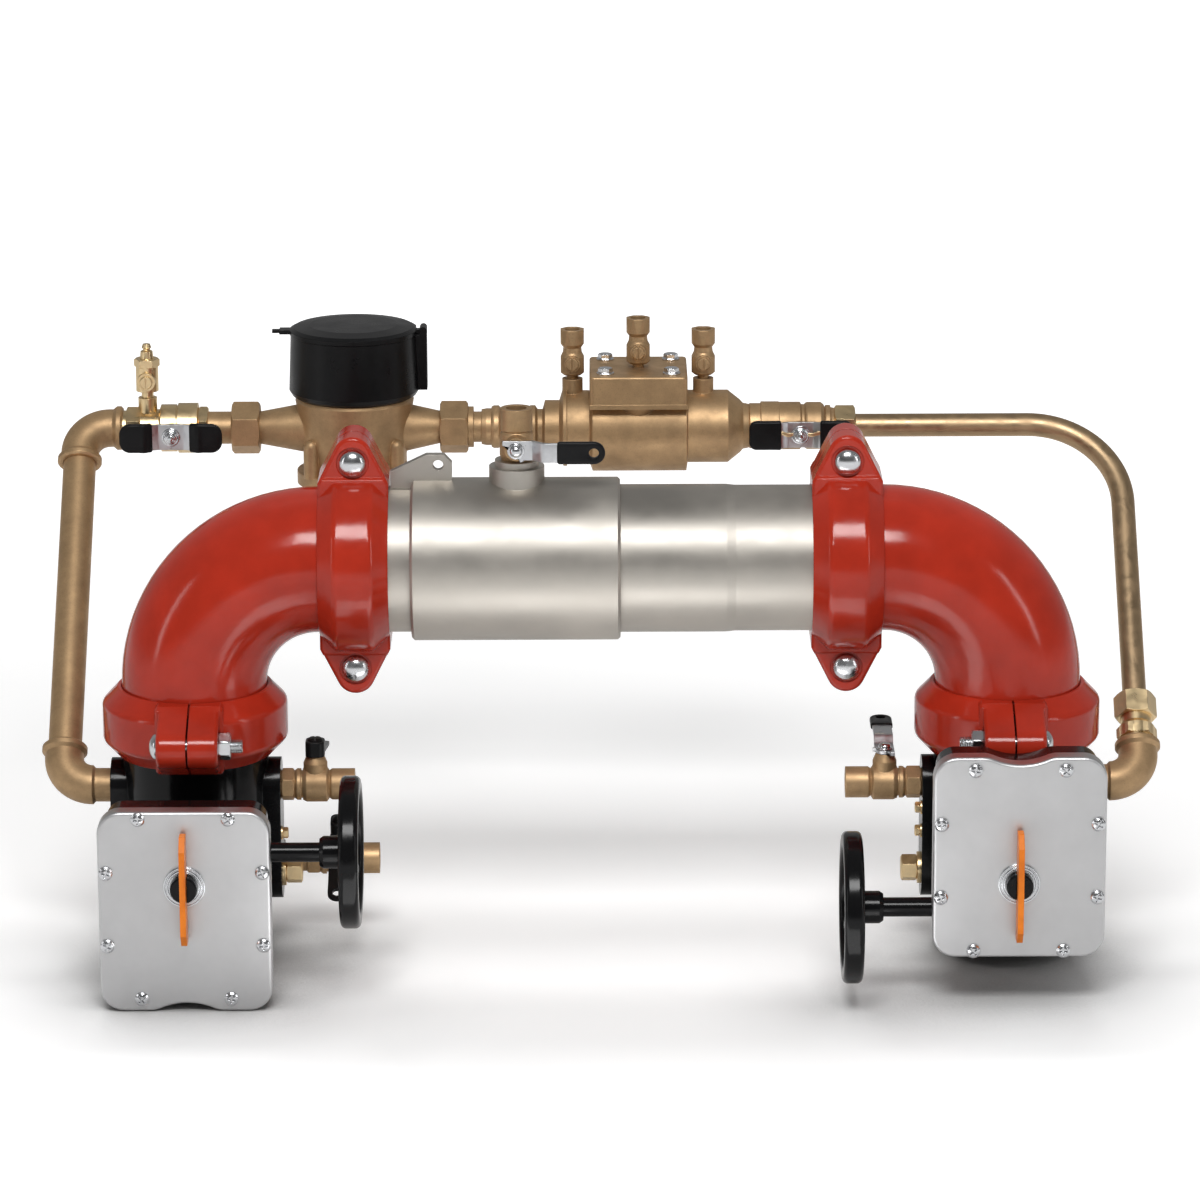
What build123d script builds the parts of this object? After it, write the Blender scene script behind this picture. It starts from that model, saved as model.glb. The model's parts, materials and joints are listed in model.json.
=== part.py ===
from build123d import *
import math
import os

# Backflow detector assembly, 4 inch main line. Millimetres, +Z up, water rises in the inlet valve,
# crosses along +X and falls through the outlet valve. Origin: centre of the inlet valve's end face.

# Main pipe, grooved ends
PIPE_OD = 114.3
PIPE_BORE = 102.0
GROOVE_SEAT = 15.88
GROOVE_WIDTH = 8.74
GROOVE_DIAMETER = 110.08
END_GAP = 1.6
LEG_SPACING = 640.0
ELBOW_REACH = 128.0
ELBOW_STRAIGHT = 29.0
VALVE_LENGTH = 179.4
SEAT_CLEARANCE = 0.3
RUN_CLEARANCE = 0.08

# Check housing and sleeve, X from the middle of the main line
TUBE_BORE = 106.0
TUBE_SWELL_OD = 115.8
TUBE_SWELL_END = 98.0
TUBE_TAPER_END = 105.0
SLEEVE_COUPLING_GAP = 17.0
SLEEVE_LENGTH = 163.0
SLEEVE_OD = 127.6
LOCK_LUG_THICKNESS = 8.0
LOCK_LUG_LEAD = 16.0
LOCK_LUG_TOP = 84.5
LOCK_LUG_LENGTH = 48.0
LOCK_LUG_FLAT = (28.0, 42.0)
LOCK_LUG_SLOPE = 13.5
LOCK_LUG_CHAMFER = 6.5
LOCK_HOLE_X = 37.3
LOCK_HOLE_Z = 76.2
LOCK_HOLE_R = 4.1
TEST_PORT_X = -65.0
TEST_BOSS_R = 21.6
TEST_BOSS_UPPER_R = 17.0
TEST_BOSS_TOP = 80.0
TEST_PORT_R = 8.0

# Clapper checks
CHECK_X = (-96.0, 34.0)
SEAT_RING_LENGTH = 14.0
SEAT_BORE_R = 30.0
CLAPPER_R = 36.0
CLAPPER_THICKNESS = 6.0
CLAPPER_HINGE_Z = 42.0
HINGE_PIN_R = 2.5
HINGE_EYE_R = 4.5
HINGE_STANDOFF = 5.5

# Couplings
COUPLING_WIDTH = 55.0
COUPLING_BAND_R = 72.8
COUPLING_BAND_WIDTH = 29.0
COUPLING_EDGE_R = 60.5
COUPLING_SPLIT = 1.5
COUPLING_BORE_CLEARANCE = 0.6
GASKET_R = 66.0
GASKET_WIDTH = 31.0
KEY_CLEARANCE = 0.7
LUG_DEPTH = 24.0
BOLT_PITCH = 165.0
LUG_END_R = 15.0
LUG_REACH = 103.0
LUG_POCKET_R = 12.6
LUG_POCKET_DEPTH = 1.6
LUG_SHOULDER = 2.4
COUPLING_CREST_R = 6.0
COUPLING_RIM_R = 1.4
BOLT_R = 5.75
BOLT_HEAD_R = 10.5
BOLT_HEAD_HEIGHT = 8.0
NUT_ACROSS = 19.0
NUT_HEIGHT = 11.0
BOLT_TAIL = 9.0
BOLT_HOLE_CLEARANCE = 0.4

# Butterfly valves
STEM_Z = VALVE_LENGTH / 2
PORT_OFFSET = 35.5
PORT_FACE_X = 67.0
PORT_BOSS_R = 22.0
COCK_PORT_R = 10.5
RISER_PORT_R = 13.3
PORT_DEPTH = 10.0
WATERWAY_R = 6.0
THREAD_CLEARANCE = 0.2
SIDE_PORT_Y = 30.0
SIDE_BOSS_R = 15.0
PORT_SCREW_Y = -15.0
PORT_SCREW_R = 2.8
PORT_SCREW_STEP = 19.0
VALVE_BORE_R = 50.5
SEAT_LINER_R = 53.5
SEAT_LINER_WIDTH = 24.0
DISC_R = 50.0
DISC_THICKNESS = 9.0
DISC_HUB_R = 11.0
STEM_R = 8.0
NECK_R = 20.0
NECK_FLANGE_Y = 95.0
NECK_FLANGE_SIZE = 70.0
NECK_FLANGE_THICKNESS = 9.0
TRUNNION_Y = 70.0
TRUNNION_R = 19.0

PORT_SCREWS = {"inlet": (-PORT_SCREW_STEP, 0.0), "outlet": (PORT_SCREW_STEP, 0.0)}

# Gear operator, distances along -Y from the pipe plane
GEARBOX_BACK = 108.0
GEARBOX_SPLIT = 139.0
COVER_FRONT = 153.0
COVER_WIDTH = 132.6
COVER_WORM_SIDE = 59.5
COVER_NOTCH_SIDE = 100.5
COVER_CORNER_R = 18.0
COVER_NOTCH_HALF = 24.0
COVER_NOTCH_DEPTH = 6.0
COVER_NOTCH_BLEND = 20.0
COVER_EDGE_R = 2.5
GEARBOX_INSET = 4.0
CAVITY_INSET = 13.0
CAVITY_FLOOR = 6.0
COVER_SKIN = 3.0
COVER_SCREWS = ((34.5, 54.0), (60.0, 11.0), (60.0, -47.5), (34.5, -90.5))
SCREW_HEAD_R = 5.5
SCREW_HEAD_HEIGHT = 3.2
SCREW_SHANK_R = 2.4
SCREW_GRIP = 10.0
RECESS_WIDTH = 1.3
RECESS_DEPTH = 2.0
SCREW_TURN = 37.0
WORM_OFFSET = 23.0
WORM_ROOT_R = 5.0
WHEEL_TIP_R = 17.6
WHEEL_FACE = 12.0
SHAFT_R = 7.5
INDICATOR_BASE_R = 15.4
INDICATOR_BASE_HEIGHT = 2.0
INDICATOR_HUB_R = 10.4
STEM_TIP = 163.5
FLAG_LENGTH = 87.0
FLAG_FRONT = 174.0
FLAG_BACK = 156.0
FLAG_THICKNESS = 4.6
HANDWHEEL_X = 127.5
HANDWHEEL_R = 58.7
HANDWHEEL_RIM_WIDTH = 15.4
HANDWHEEL_RIM_DEPTH = 12.0
HANDWHEEL_RIM_CORNER = 4.2
HANDWHEEL_WEB = 5.0
HANDWHEEL_SPOKES = 5
HANDWHEEL_SPOKE_WIDTH = 15.0
HANDWHEEL_HUB_R = 12.6
HANDWHEEL_HUB_LENGTH = 24.0

# Bypass, three quarter inch, leaning back over the main line
BYPASS_LEAN = 45.0
BYPASS_SLOPE = 332.0
RISER_OUT = 106.0
PIPE_34_R = 13.335
PIPE_34_BORE_R = 10.5
FITTING_WALL = 2.2
SOCKET_R = 18.0
SOCKET_DEPTH = 10.0
SOCKET_LIP = 34.5
STREET_BEND_R = 24.0
TUBE_OD = 19.05
TUBE_WALL = 1.65
TUBE_BEND_R = 75.0

# Bypass pieces, lengths along the line in order
TAIL_NIPPLE = 19.5
UNION_LENGTH = 23.0
METER_LEFT = 77.8
METER_RIGHT = 70.0
METER_TAILPIECE = 19.2
LINE_COUPLING_LENGTH = 41.9
CHECK_LENGTH = 169.3
TUBE_NUT_LENGTH = 17.3
THREAD_GRIP = 9.0
LINE_BEAD_R = 17.6
LINE_NECK_R = 15.2

# Levers and handles, a joggle is (start, end, rise) from the stem
LEVER_THICKNESS = 3.0
GRIP_WALL = 1.2
GRIP_EDGE_R = 1.8
LEVER_WIDTH = 15.2
LEVER_HOLE_R = 3.9
LEVER_NUT_R = 6.6
TEE_SPAN = 84.0
TEE_STRAP_HEIGHT = 21.6
TEE_GRIP_START = 16.3
TEE_GRIP_CORNER_R = 7.0
TEE_NUT_R = 7.7
INLET_TEE_JOGGLE = (11.0, 22.0, 5.0)
OUTLET_TEE_JOGGLE = (11.0, 16.0, 2.6)

# Bypass ball valves
BALL_VALVE_LENGTH = 70.0
PORT_COLLAR_R = 14.5
BALL_HEX_START = 3.0
BALL_HEX_END = 14.7
BALL_HEX_ACROSS = 31.0
BALL_WAIST_END = 30.0
BALL_SEAM = 45.0
BALL_BULB_R = 20.6
BALL_BULB_END = 62.5
ROUND_VALVE_R = 20.0
ROUND_VALVE_END = 61.5
BALL_STEM_AT = 41.5
BALL_STEM_R = 4.0
BALL_STEM_SEAT = 15.0
BALL_BOSS_R = 8.0
BALL_BOSS_REACH = 31.0
BLEED_AT = 20.5
BLEED_BOSS_TOP = 26.0
BLEED_NECK_R = 4.9
BLEED_BODY_LOW = 31.6
BLEED_BODY_HIGH = 58.7
BLEED_SCREW_Z = 41.0
BLEED_FACE = 13.0
BLEED_BOSS_R = 7.7
BLEED_BODY_R = 9.2
BLEED_SCREW_BOSS_R = 7.4

# Meter, heights from the bypass axis
METER_BOTTOM = -47.0
METER_FLANGE_TOP = -35.0
METER_FLANGE_R = 48.0
METER_POT_R = 44.0
METER_COLUMN_X = 35.0
METER_COLUMN_Y = 29.0
METER_COLUMN_R = 6.2
METER_COLUMN_TOP = -10.0
METER_SPUD_R = 21.5
METER_SPUD_START = 34.0
UNION_ACROSS = 38.0
REGISTER_R = 51.6
REGISTER_FLARE = 1.8
REGISTER_LOW = 27.0
REGISTER_HIGH = 79.0
LID_TOP = 87.0
HINGE_X = 57.0
HINGE_Z = 82.5
LID_PIN_R = 1.5
KNUCKLE_R = 3.0
KNUCKLE_Y = 6.0
CAPSULE_R = 39.3

# Small double check, X from its inlet end, heights from the bypass axis
CHECK_END_R = 21.8
CHECK_MID_START = 38.5
CHECK_MID_END = 118.0
CHECK_MID_R = 36.6
CHECK_SIDE_R = 29.8
CHECK_RING_R = 32.5
CHECK_TAIL_R = 18.0
CHECK_COVER_X = 78.6
CHECK_COVER_SIZE = 80.0
CHECK_PAD_LOW = 23.0
CHECK_COVER_LOW = 27.0
CHECK_COVER_TOP = 50.0
CHECK_BOLT_SPACING = 54.0
CHECK_SIDE_COCKS = (24.7, 131.9)
CHECK_BOSS_TOP = 40.7
CHECK_BOSS_R = 8.4
CHECK_BOLT_HOLE_R = 3.3
COCK_HEIGHT = 41.0
COCK_ACROSS = 19.2
COCK_NECK_R = 4.6
COCK_NECK_DEPTH = 3.0
COCK_SCREW_Z = 14.0
COCK_SCREW_R = 4.0
COCK_FACE = 12.0
COCK_BOSS_R = 6.4

# Tube fittings
TUBE_NUT_ACROSS = 29.5
TUBE_NUT_START = 56.0
TUBE_NUT_DROP = 20.0
ADAPTER_HEX_END = 47.0
ADAPTER_SPIGOT_R = 13.0
ADAPTER_NECK_R = 12.4

# Cocks, plugs and screws on the valves and sleeve
SMALL_STEM_R = 3.5
SMALL_STEM_FACE = 24.0
SMALL_STEM_FOOT = 8.5
COCK_OUTLET = 18.0
COCK_STEM_AT = 16.5
COCK_ENTRY_R = 12.6
COCK_BULB_R = 14.0
COCK_SPIGOT_R = 12.4
COCK_NOZZLE_R = 8.0
COCK_NOZZLE_DEPTH = 14.0
COCK_HEX_ACROSS = 23.0
PLUG_LENGTH = 15.5
MAIN_COCK_TOP = 121.0
MAIN_COCK_STEM_Z = 93.0
LOWER_COCK_TILT = 15.0
INLET_COCK_HEX = 10.5
OUTLET_COCK_HEX = 12.5
SIDE_NIPPLE = 17.6
HOOKED_REACH = 80.0
HOOKED_HEAD_HALF = 9.0
HOOKED_HEAD_DEPTH = 12.0
HOOKED_SLOPE = 12.0
OUTLET_LEVER_REACH = 74.0
OUTLET_GRIP_START = 46.0
OUTLET_JOGGLE = (17.0, 23.0, 6.0)
MAIN_LEVER_REACH = 69.0
MAIN_GRIP_START = 31.6
MAIN_JOGGLE = (13.8, 21.8, 9.0)

MID_X = LEG_SPACING / 2
ELBOW_BEND_R = ELBOW_REACH - ELBOW_STRAIGHT
SLEEVE_START = ELBOW_REACH + COUPLING_WIDTH / 2 + SLEEVE_COUPLING_GAP - MID_X
SLEEVE_END = SLEEVE_START + SLEEVE_LENGTH
MAIN_Z = VALVE_LENGTH + END_GAP + ELBOW_REACH
PORT_UPPER_Z = STEM_Z + PORT_OFFSET
PORT_LOWER_Z = STEM_Z - PORT_OFFSET
PIPE_R = PIPE_OD / 2
FITTING_R = PIPE_34_R + FITTING_WALL
LEAN = math.radians(BYPASS_LEAN)
BYPASS_Y = BYPASS_SLOPE * math.sin(LEAN)
BYPASS_Z = PORT_UPPER_Z + BYPASS_SLOPE * math.cos(LEAN)

TO_X = Rot(0, 90, 0)
TO_MINUS_X = Rot(0, -90, 0)
TO_Y = Rot(-90, 0, 0)
TO_MINUS_Y = Rot(90, 0, 0)
INLET = Location()
OUTLET = Pos(LEG_SPACING, 0, STEM_Z) * Rot(0, 180, 0) * Pos(0, 0, -STEM_Z)
VALVES = {"inlet": INLET, "outlet": OUTLET}
MIDDLE = Pos(MID_X, 0, MAIN_Z)


def turned(steps, bore=0.0):
    """Solid turned about Z from (height, radius) steps, with a plain bore."""
    ends = [(steps[0][0], bore)] + list(steps) + [(steps[-1][0], bore)]
    outline = [(radius, height) for height, radius in ends]
    outline = [point for point, before in zip(outline[1:], outline) if math.dist(point, before) > 1e-6]
    outline = [(bore, steps[0][0])] + outline
    return revolve(Plane.XZ * make_face(Polyline(*outline, close=True)), Axis.Z)


def stepped(start, stages):
    """Steps for turned() from (length, first radius, last radius) stages."""
    steps = []
    height = start
    for length, first, last in stages:
        steps.append((height, first))
        height += length
        steps.append((height, last))
    return steps


def drill(radius, low, high):
    """Cylinder about Z between two heights."""
    return Pos(0, 0, (low + high) / 2) * Cylinder(radius, high - low)


def hex_bar(across, low, high, chamfer_depth=1.0):
    """Hexagon bar about Z with turned, chamfered corners."""
    bar = Pos(0, 0, low) * extrude(RegularPolygon(across / 2, 6, major_radius=False), high - low)
    corner = across / math.sqrt(3)
    inner = corner - chamfer_depth * 1.8
    steps = [(low, inner), (low + chamfer_depth, corner), (high - chamfer_depth, corner), (high, inner)]
    return bar & turned(steps)


def block(low, high):
    """Box from its lowest to its highest corner."""
    size = [b - a for a, b in zip(low, high)]
    centre = [(a + b) / 2 for a, b in zip(low, high)]
    return Pos(*centre) * Box(*size)


def grooved_steps(length, groove_low=True, groove_high=True):
    """Steps of a pipe's outside with a groove near one or both ends."""
    groove_r = GROOVE_DIAMETER / 2
    inner = GROOVE_SEAT + GROOVE_WIDTH
    steps = [(0, PIPE_R)]
    if groove_low:
        steps += [(GROOVE_SEAT, PIPE_R), (GROOVE_SEAT, groove_r), (inner, groove_r), (inner, PIPE_R)]
    if groove_high:
        steps += [(length - inner, PIPE_R), (length - inner, groove_r)]
        steps += [(length - GROOVE_SEAT, groove_r), (length - GROOVE_SEAT, PIPE_R)]
    steps.append((length, PIPE_R))
    return steps


def grooved_elbow():
    """Elbow from a lower end on Z to an end facing +X, the corner at the origin."""
    straight = ELBOW_STRAIGHT - END_GAP
    stub = turned(grooved_steps(straight, groove_high=False), PIPE_BORE / 2)
    ring = Circle(PIPE_R) - Circle(PIPE_BORE / 2)
    bend_axis = Axis((ELBOW_BEND_R, 0, -ELBOW_BEND_R), (0, 1, 0))
    bend = revolve(Pos(0, 0, -ELBOW_BEND_R) * ring, bend_axis, 90)
    lower = Pos(0, 0, END_GAP - ELBOW_REACH) * stub
    upper = Pos(ELBOW_REACH - END_GAP, 0, 0) * TO_MINUS_X * stub
    return bend + lower + upper


def coupling_void():
    """Inside of a coupling: bore, gasket pocket and the two key rings."""
    bore_r = PIPE_R + COUPLING_BORE_CLEARANCE
    key_r = GROOVE_DIAMETER / 2 + KEY_CLEARANCE
    key_start = END_GAP + GROOVE_SEAT + KEY_CLEARANCE
    key_end = END_GAP + GROOVE_SEAT + GROOVE_WIDTH - KEY_CLEARANCE
    half = COUPLING_WIDTH / 2
    side = [(GASKET_WIDTH / 2, GASKET_R), (GASKET_WIDTH / 2, bore_r), (key_start, bore_r)]
    side += [(key_start, key_r), (key_end, key_r), (key_end, bore_r), (half + 1, bore_r)]
    mirrored = [(-height, radius) for height, radius in reversed(side)]
    return turned(mirrored + side)


def coupling_half():
    """Coupling half on +X of the split, pipe along Z, bolt lugs at +Y and -Y."""
    half = COUPLING_WIDTH / 2
    band = COUPLING_BAND_WIDTH / 2
    outline = make_face(Polyline((0, -half), (COUPLING_EDGE_R, -half), (COUPLING_BAND_R, -band),
                                 (COUPLING_BAND_R, band), (COUPLING_EDGE_R, half), (0, half), close=True))
    crests = outline.vertices().filter_by(lambda v: abs(v.X - COUPLING_BAND_R) < 0.1)
    outline = fillet(crests, COUPLING_CREST_R)
    rims = outline.vertices().filter_by(lambda v: abs(v.X - COUPLING_EDGE_R) < 0.1)
    outline = fillet(rims, COUPLING_RIM_R)
    shell = revolve(Plane.XZ * outline, Axis.Z)
    end = LUG_REACH - LUG_END_R
    shoulder = (COUPLING_EDGE_R + COUPLING_BAND_R) / 2
    gap = math.hypot(end - shoulder, half)
    heading = math.atan2(-half, end - shoulder) + math.asin(LUG_END_R / gap)
    run = math.sqrt(gap ** 2 - LUG_END_R ** 2)
    tip_y = shoulder + run * math.cos(heading)
    tip_z = half + run * math.sin(heading)
    web = Polyline((0, -half), (shoulder, -half), (tip_y, -tip_z), (tip_y, tip_z), (shoulder, half),
                   (0, half), close=True)
    ear = make_face(web) + Pos(end, 0) * Circle(LUG_END_R)
    ear_solid = extrude(Plane.YZ * ear, LUG_DEPTH)
    ear_solid = fillet(ear_solid.faces().sort_by(Axis.X)[-1].edges(), 3.0)
    step_y = BOLT_PITCH / 2 - LUG_POCKET_R + 1.5
    step = extrude(Plane.YZ * ear, LUG_DEPTH + LUG_SHOULDER)
    step = step & block((0, 0, -half), (half, step_y, half))
    ear_solid += chamfer(step.faces().sort_by(Axis.X)[-1].edges(), LUG_SHOULDER - 0.4)
    shell += ear_solid + mirror(ear_solid, Plane.XZ)
    body = shell - coupling_void()
    far = LUG_REACH + 1
    body = body & block((COUPLING_SPLIT / 2, -far, -far), (far, far, far))
    hole_r = BOLT_R + BOLT_HOLE_CLEARANCE
    seat = LUG_DEPTH - LUG_POCKET_DEPTH
    bolt_way = drill(hole_r, 0, far) + drill(LUG_POCKET_R, seat, far)
    for side in (-1, 1):
        body -= Pos(0, side * BOLT_PITCH / 2, 0) * TO_X * bolt_way
    return body


def gasket():
    """Coupling gasket, a C section open towards the pipe ends."""
    lip_r = PIPE_R + SEAT_CLEARANCE
    outer_r = GASKET_R - SEAT_CLEARANCE
    half = GASKET_WIDTH / 2 - SEAT_CLEARANCE
    pocket_r = lip_r + 4.0
    lip_start = 5.0
    inside = turned([(-half - 1, lip_r), (-lip_start, lip_r), (-lip_start, pocket_r),
                     (lip_start, pocket_r), (lip_start, lip_r), (half + 1, lip_r)])
    return drill(outer_r, -half, half) - inside


def coupling_bolt():
    """Dome headed bolt along +X through a pair of lugs, with its hexagon nut."""
    seat = LUG_DEPTH - LUG_POCKET_DEPTH
    tip = seat + NUT_HEIGHT + BOLT_TAIL
    dome = Pos(0, 0, -seat) * turned([(-BOLT_HEAD_HEIGHT, 3.0), (-BOLT_HEAD_HEIGHT * 0.85, 6.0),
                                           (-BOLT_HEAD_HEIGHT * 0.55, 8.8), (-2.0, BOLT_HEAD_R),
                                           (0, BOLT_HEAD_R)])
    bolt = dome + turned([(-seat, BOLT_R), (tip - 1, BOLT_R), (tip, BOLT_R - 1)])
    nut = hex_bar(NUT_ACROSS, seat, seat + NUT_HEIGHT) - drill(BOLT_R, 0, tip)
    return TO_X * bolt, TO_X * nut


def coupling_places():
    """Where the four couplings sit: pipe along local Z, split across local X."""
    joint_z = MAIN_Z - ELBOW_REACH
    across = Location(Plane(origin=(0, 0, 0), x_dir=(0, 1, 0), z_dir=(1, 0, 0)))
    body = [Pos(MID_X + side * (MID_X - ELBOW_REACH), 0, MAIN_Z) * across for side in (-1, 1)]
    valve = [Pos(0, 0, joint_z), Pos(LEG_SPACING, 0, joint_z) * Rot(0, 0, 180)]
    return body, valve


def port_cut(side, level, y=0.0, radius=COCK_PORT_R):
    """Threaded port and its waterway through a port plate, level above or below the stem."""
    hole = drill(radius, PORT_FACE_X - PORT_DEPTH, PORT_FACE_X + 1)
    hole += drill(WATERWAY_R, VALVE_BORE_R - 5, PORT_FACE_X)
    return Pos(0, y, STEM_Z + level * PORT_OFFSET) * (TO_X if side > 0 else TO_MINUS_X) * hole


def valve_body(ports, screws, side_port=False):
    """Butterfly valve body: grooved tube, port plates, stem neck and lower trunnion.

    A port is (side, level, radius); a screw is (side, height from the stem)."""
    body = turned(grooved_steps(VALVE_LENGTH))
    plate = SlotCenterToCenter(2 * PORT_OFFSET, 2 * PORT_BOSS_R)
    plate = Plane.YZ * (Rot(0, 0, 90) * plate)
    body += Pos(-PORT_FACE_X, 0, STEM_Z) * extrude(plate, 2 * PORT_FACE_X)
    if side_port:
        body += Pos(0, SIDE_PORT_Y, STEM_Z - PORT_OFFSET) * TO_X * drill(SIDE_BOSS_R, 0, PORT_FACE_X)
    body += Pos(0, 0, STEM_Z) * TO_MINUS_Y * drill(NECK_R, 0, NECK_FLANGE_Y)
    flange = extrude(RectangleRounded(NECK_FLANGE_SIZE, NECK_FLANGE_SIZE, 12), NECK_FLANGE_THICKNESS)
    body += Pos(0, NECK_FLANGE_THICKNESS - NECK_FLANGE_Y, STEM_Z) * TO_MINUS_Y * flange
    body += Pos(0, 0, STEM_Z) * TO_Y * drill(TRUNNION_R, 0, TRUNNION_Y)
    body -= drill(VALVE_BORE_R, -1, VALVE_LENGTH + 1)
    half_seat = SEAT_LINER_WIDTH / 2
    body -= drill(SEAT_LINER_R + SEAT_CLEARANCE, STEM_Z - half_seat - SEAT_CLEARANCE,
                  STEM_Z + half_seat + SEAT_CLEARANCE)
    stem_hole = drill(STEM_R + RUN_CLEARANCE, 0, NECK_FLANGE_Y + 1)
    body -= Pos(0, 0, STEM_Z) * TO_MINUS_Y * stem_hole
    body -= Pos(0, 0, STEM_Z) * TO_Y * drill(STEM_R + RUN_CLEARANCE, 0, TRUNNION_Y - 6)
    for side, level, radius in ports:
        body -= port_cut(side, level, 0.0, radius)
    if side_port:
        body -= port_cut(1, -1, SIDE_PORT_Y)
    for side, height in screws:
        hole = drill(PORT_SCREW_R + THREAD_CLEARANCE, PORT_FACE_X - 7, PORT_FACE_X + 1)
        body -= Pos(0, PORT_SCREW_Y, STEM_Z + height) * (TO_X if side > 0 else TO_MINUS_X) * hole
    return body


def valve_seat():
    """Rubber seat ring in the valve's bore."""
    half = SEAT_LINER_WIDTH / 2
    ring = turned([(STEM_Z - half, SEAT_LINER_R), (STEM_Z + half, SEAT_LINER_R)], DISC_R + SEAT_CLEARANCE)
    hole = drill(STEM_R + 1.0, -SEAT_LINER_R - 1, SEAT_LINER_R + 1)
    return ring - Pos(0, 0, STEM_Z) * TO_Y * hole


def disc():
    """Disc in line with the flow, its edge a zone of a sphere, bored for the stem."""
    half = DISC_THICKNESS / 2
    blank = TO_X * drill(DISC_R, -half, half)
    hub = TO_Y * drill(DISC_HUB_R, -DISC_R * 0.93, DISC_R * 0.93)
    shape = (blank + hub) & Sphere(DISC_R)
    return Pos(0, 0, STEM_Z) * (shape - TO_Y * drill(STEM_R + 0.05, -DISC_R - 1, DISC_R + 1))


def stem():
    """Valve stem from the lower trunnion to the flag hub."""
    low = -(TRUNNION_Y - 8)
    shaft = drill(STEM_R, low, COVER_FRONT)
    hub = turned([(COVER_FRONT, STEM_R), (COVER_FRONT + INDICATOR_BASE_HEIGHT + SEAT_CLEARANCE, STEM_R),
                  (COVER_FRONT + INDICATOR_BASE_HEIGHT + SEAT_CLEARANCE, INDICATOR_HUB_R),
                  (STEM_TIP - 1, INDICATOR_HUB_R), (STEM_TIP, INDICATOR_HUB_R - 1)])
    slot = block((-FLAG_THICKNESS / 2 - 0.1, -STEM_R * 2, FLAG_BACK - 0.1),
                 (FLAG_THICKNESS / 2 + 0.1, STEM_R * 2, STEM_TIP + 1))
    return Pos(0, 0, STEM_Z) * TO_MINUS_Y * (shaft + hub - slot)


def worm_wheel():
    """Worm wheel keyed on the stem."""
    wheel = drill(WHEEL_TIP_R, GEARBOX_SPLIT - WHEEL_FACE / 2, GEARBOX_SPLIT + WHEEL_FACE / 2)
    wheel -= drill(STEM_R + 0.05, 0, COVER_FRONT)
    return Pos(0, 0, STEM_Z) * TO_MINUS_Y * wheel


def flag():
    """Position flag, a blade with chamfered ends across the stem's slot."""
    half = FLAG_LENGTH / 2
    depth = FLAG_FRONT - FLAG_BACK
    blade = Polyline((-FLAG_FRONT, -half + depth * 0.55), (-FLAG_FRONT + depth * 0.45, -half),
                     (-FLAG_BACK, -half), (-FLAG_BACK, half), (-FLAG_FRONT + depth * 0.45, half),
                     (-FLAG_FRONT, half - depth * 0.55), close=True)
    solid = extrude(Plane.YZ * make_face(blade), FLAG_THICKNESS / 2, both=True)
    return Pos(0, 0, STEM_Z) * solid


def cover_outline(inset=0.0):
    """Outline of the gear cover, worm side up, about the stem axis."""
    top = COVER_WORM_SIDE - inset
    bottom = -COVER_NOTCH_SIDE + inset
    width = COVER_WIDTH - 2 * inset
    plate = Pos(0, (top + bottom) / 2) * Rectangle(width, top - bottom)
    notch_r = (COVER_NOTCH_HALF ** 2 + COVER_NOTCH_DEPTH ** 2) / (2 * COVER_NOTCH_DEPTH)
    plate -= Pos(0, bottom + COVER_NOTCH_DEPTH - notch_r) * Circle(notch_r)
    corners = plate.vertices().filter_by(lambda v: abs(v.X) > width / 2 - 1)
    plate = fillet(corners, COVER_CORNER_R - inset)
    lips = plate.vertices().filter_by(lambda v: abs(abs(v.X) - COVER_NOTCH_HALF) < 0.5)
    return fillet(lips, COVER_NOTCH_BLEND)


def gear_cavity(low, high):
    """Space inside the gearbox and its cover, between two distances from the pipe plane."""
    half = COVER_WIDTH / 2 - CAVITY_INSET
    top = COVER_WORM_SIDE - CAVITY_INSET
    bottom = -COVER_NOTCH_SIDE + CAVITY_INSET + COVER_NOTCH_DEPTH
    space = Pos(0, (top + bottom) / 2) * RectangleRounded(2 * half, top - bottom, 8)
    return Pos(0, 0, low) * extrude(space, high - low)


def gear_screw_places():
    """The eight cover screws about the stem axis."""
    return [(side * x, z) for x, z in COVER_SCREWS for side in (-1, 1)]


def shaft_hole():
    """Bore for the worm shaft, blind on the side away from the handwheel."""
    blind = -COVER_WIDTH / 2 + GEARBOX_INSET + 3
    bore = TO_X * drill(SHAFT_R + RUN_CLEARANCE, blind, COVER_WIDTH)
    return Pos(0, WORM_OFFSET, GEARBOX_SPLIT) * bore


def gearbox():
    """Gear housing behind the cover, with its round foot on the valve neck."""
    case = Pos(0, 0, GEARBOX_BACK) * extrude(cover_outline(GEARBOX_INSET), GEARBOX_SPLIT - GEARBOX_BACK)
    foot = drill(NECK_R + 9, NECK_FLANGE_Y, GEARBOX_BACK)
    case = case + foot - gear_cavity(GEARBOX_BACK + CAVITY_FLOOR, GEARBOX_SPLIT)
    case -= drill(STEM_R + RUN_CLEARANCE, NECK_FLANGE_Y - 1, GEARBOX_SPLIT)
    case -= shaft_hole()
    for x, z in gear_screw_places():
        case -= Pos(x, z, 0) * drill(SCREW_SHANK_R, GEARBOX_SPLIT - SCREW_GRIP - 1, GEARBOX_SPLIT)
    return case


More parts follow.
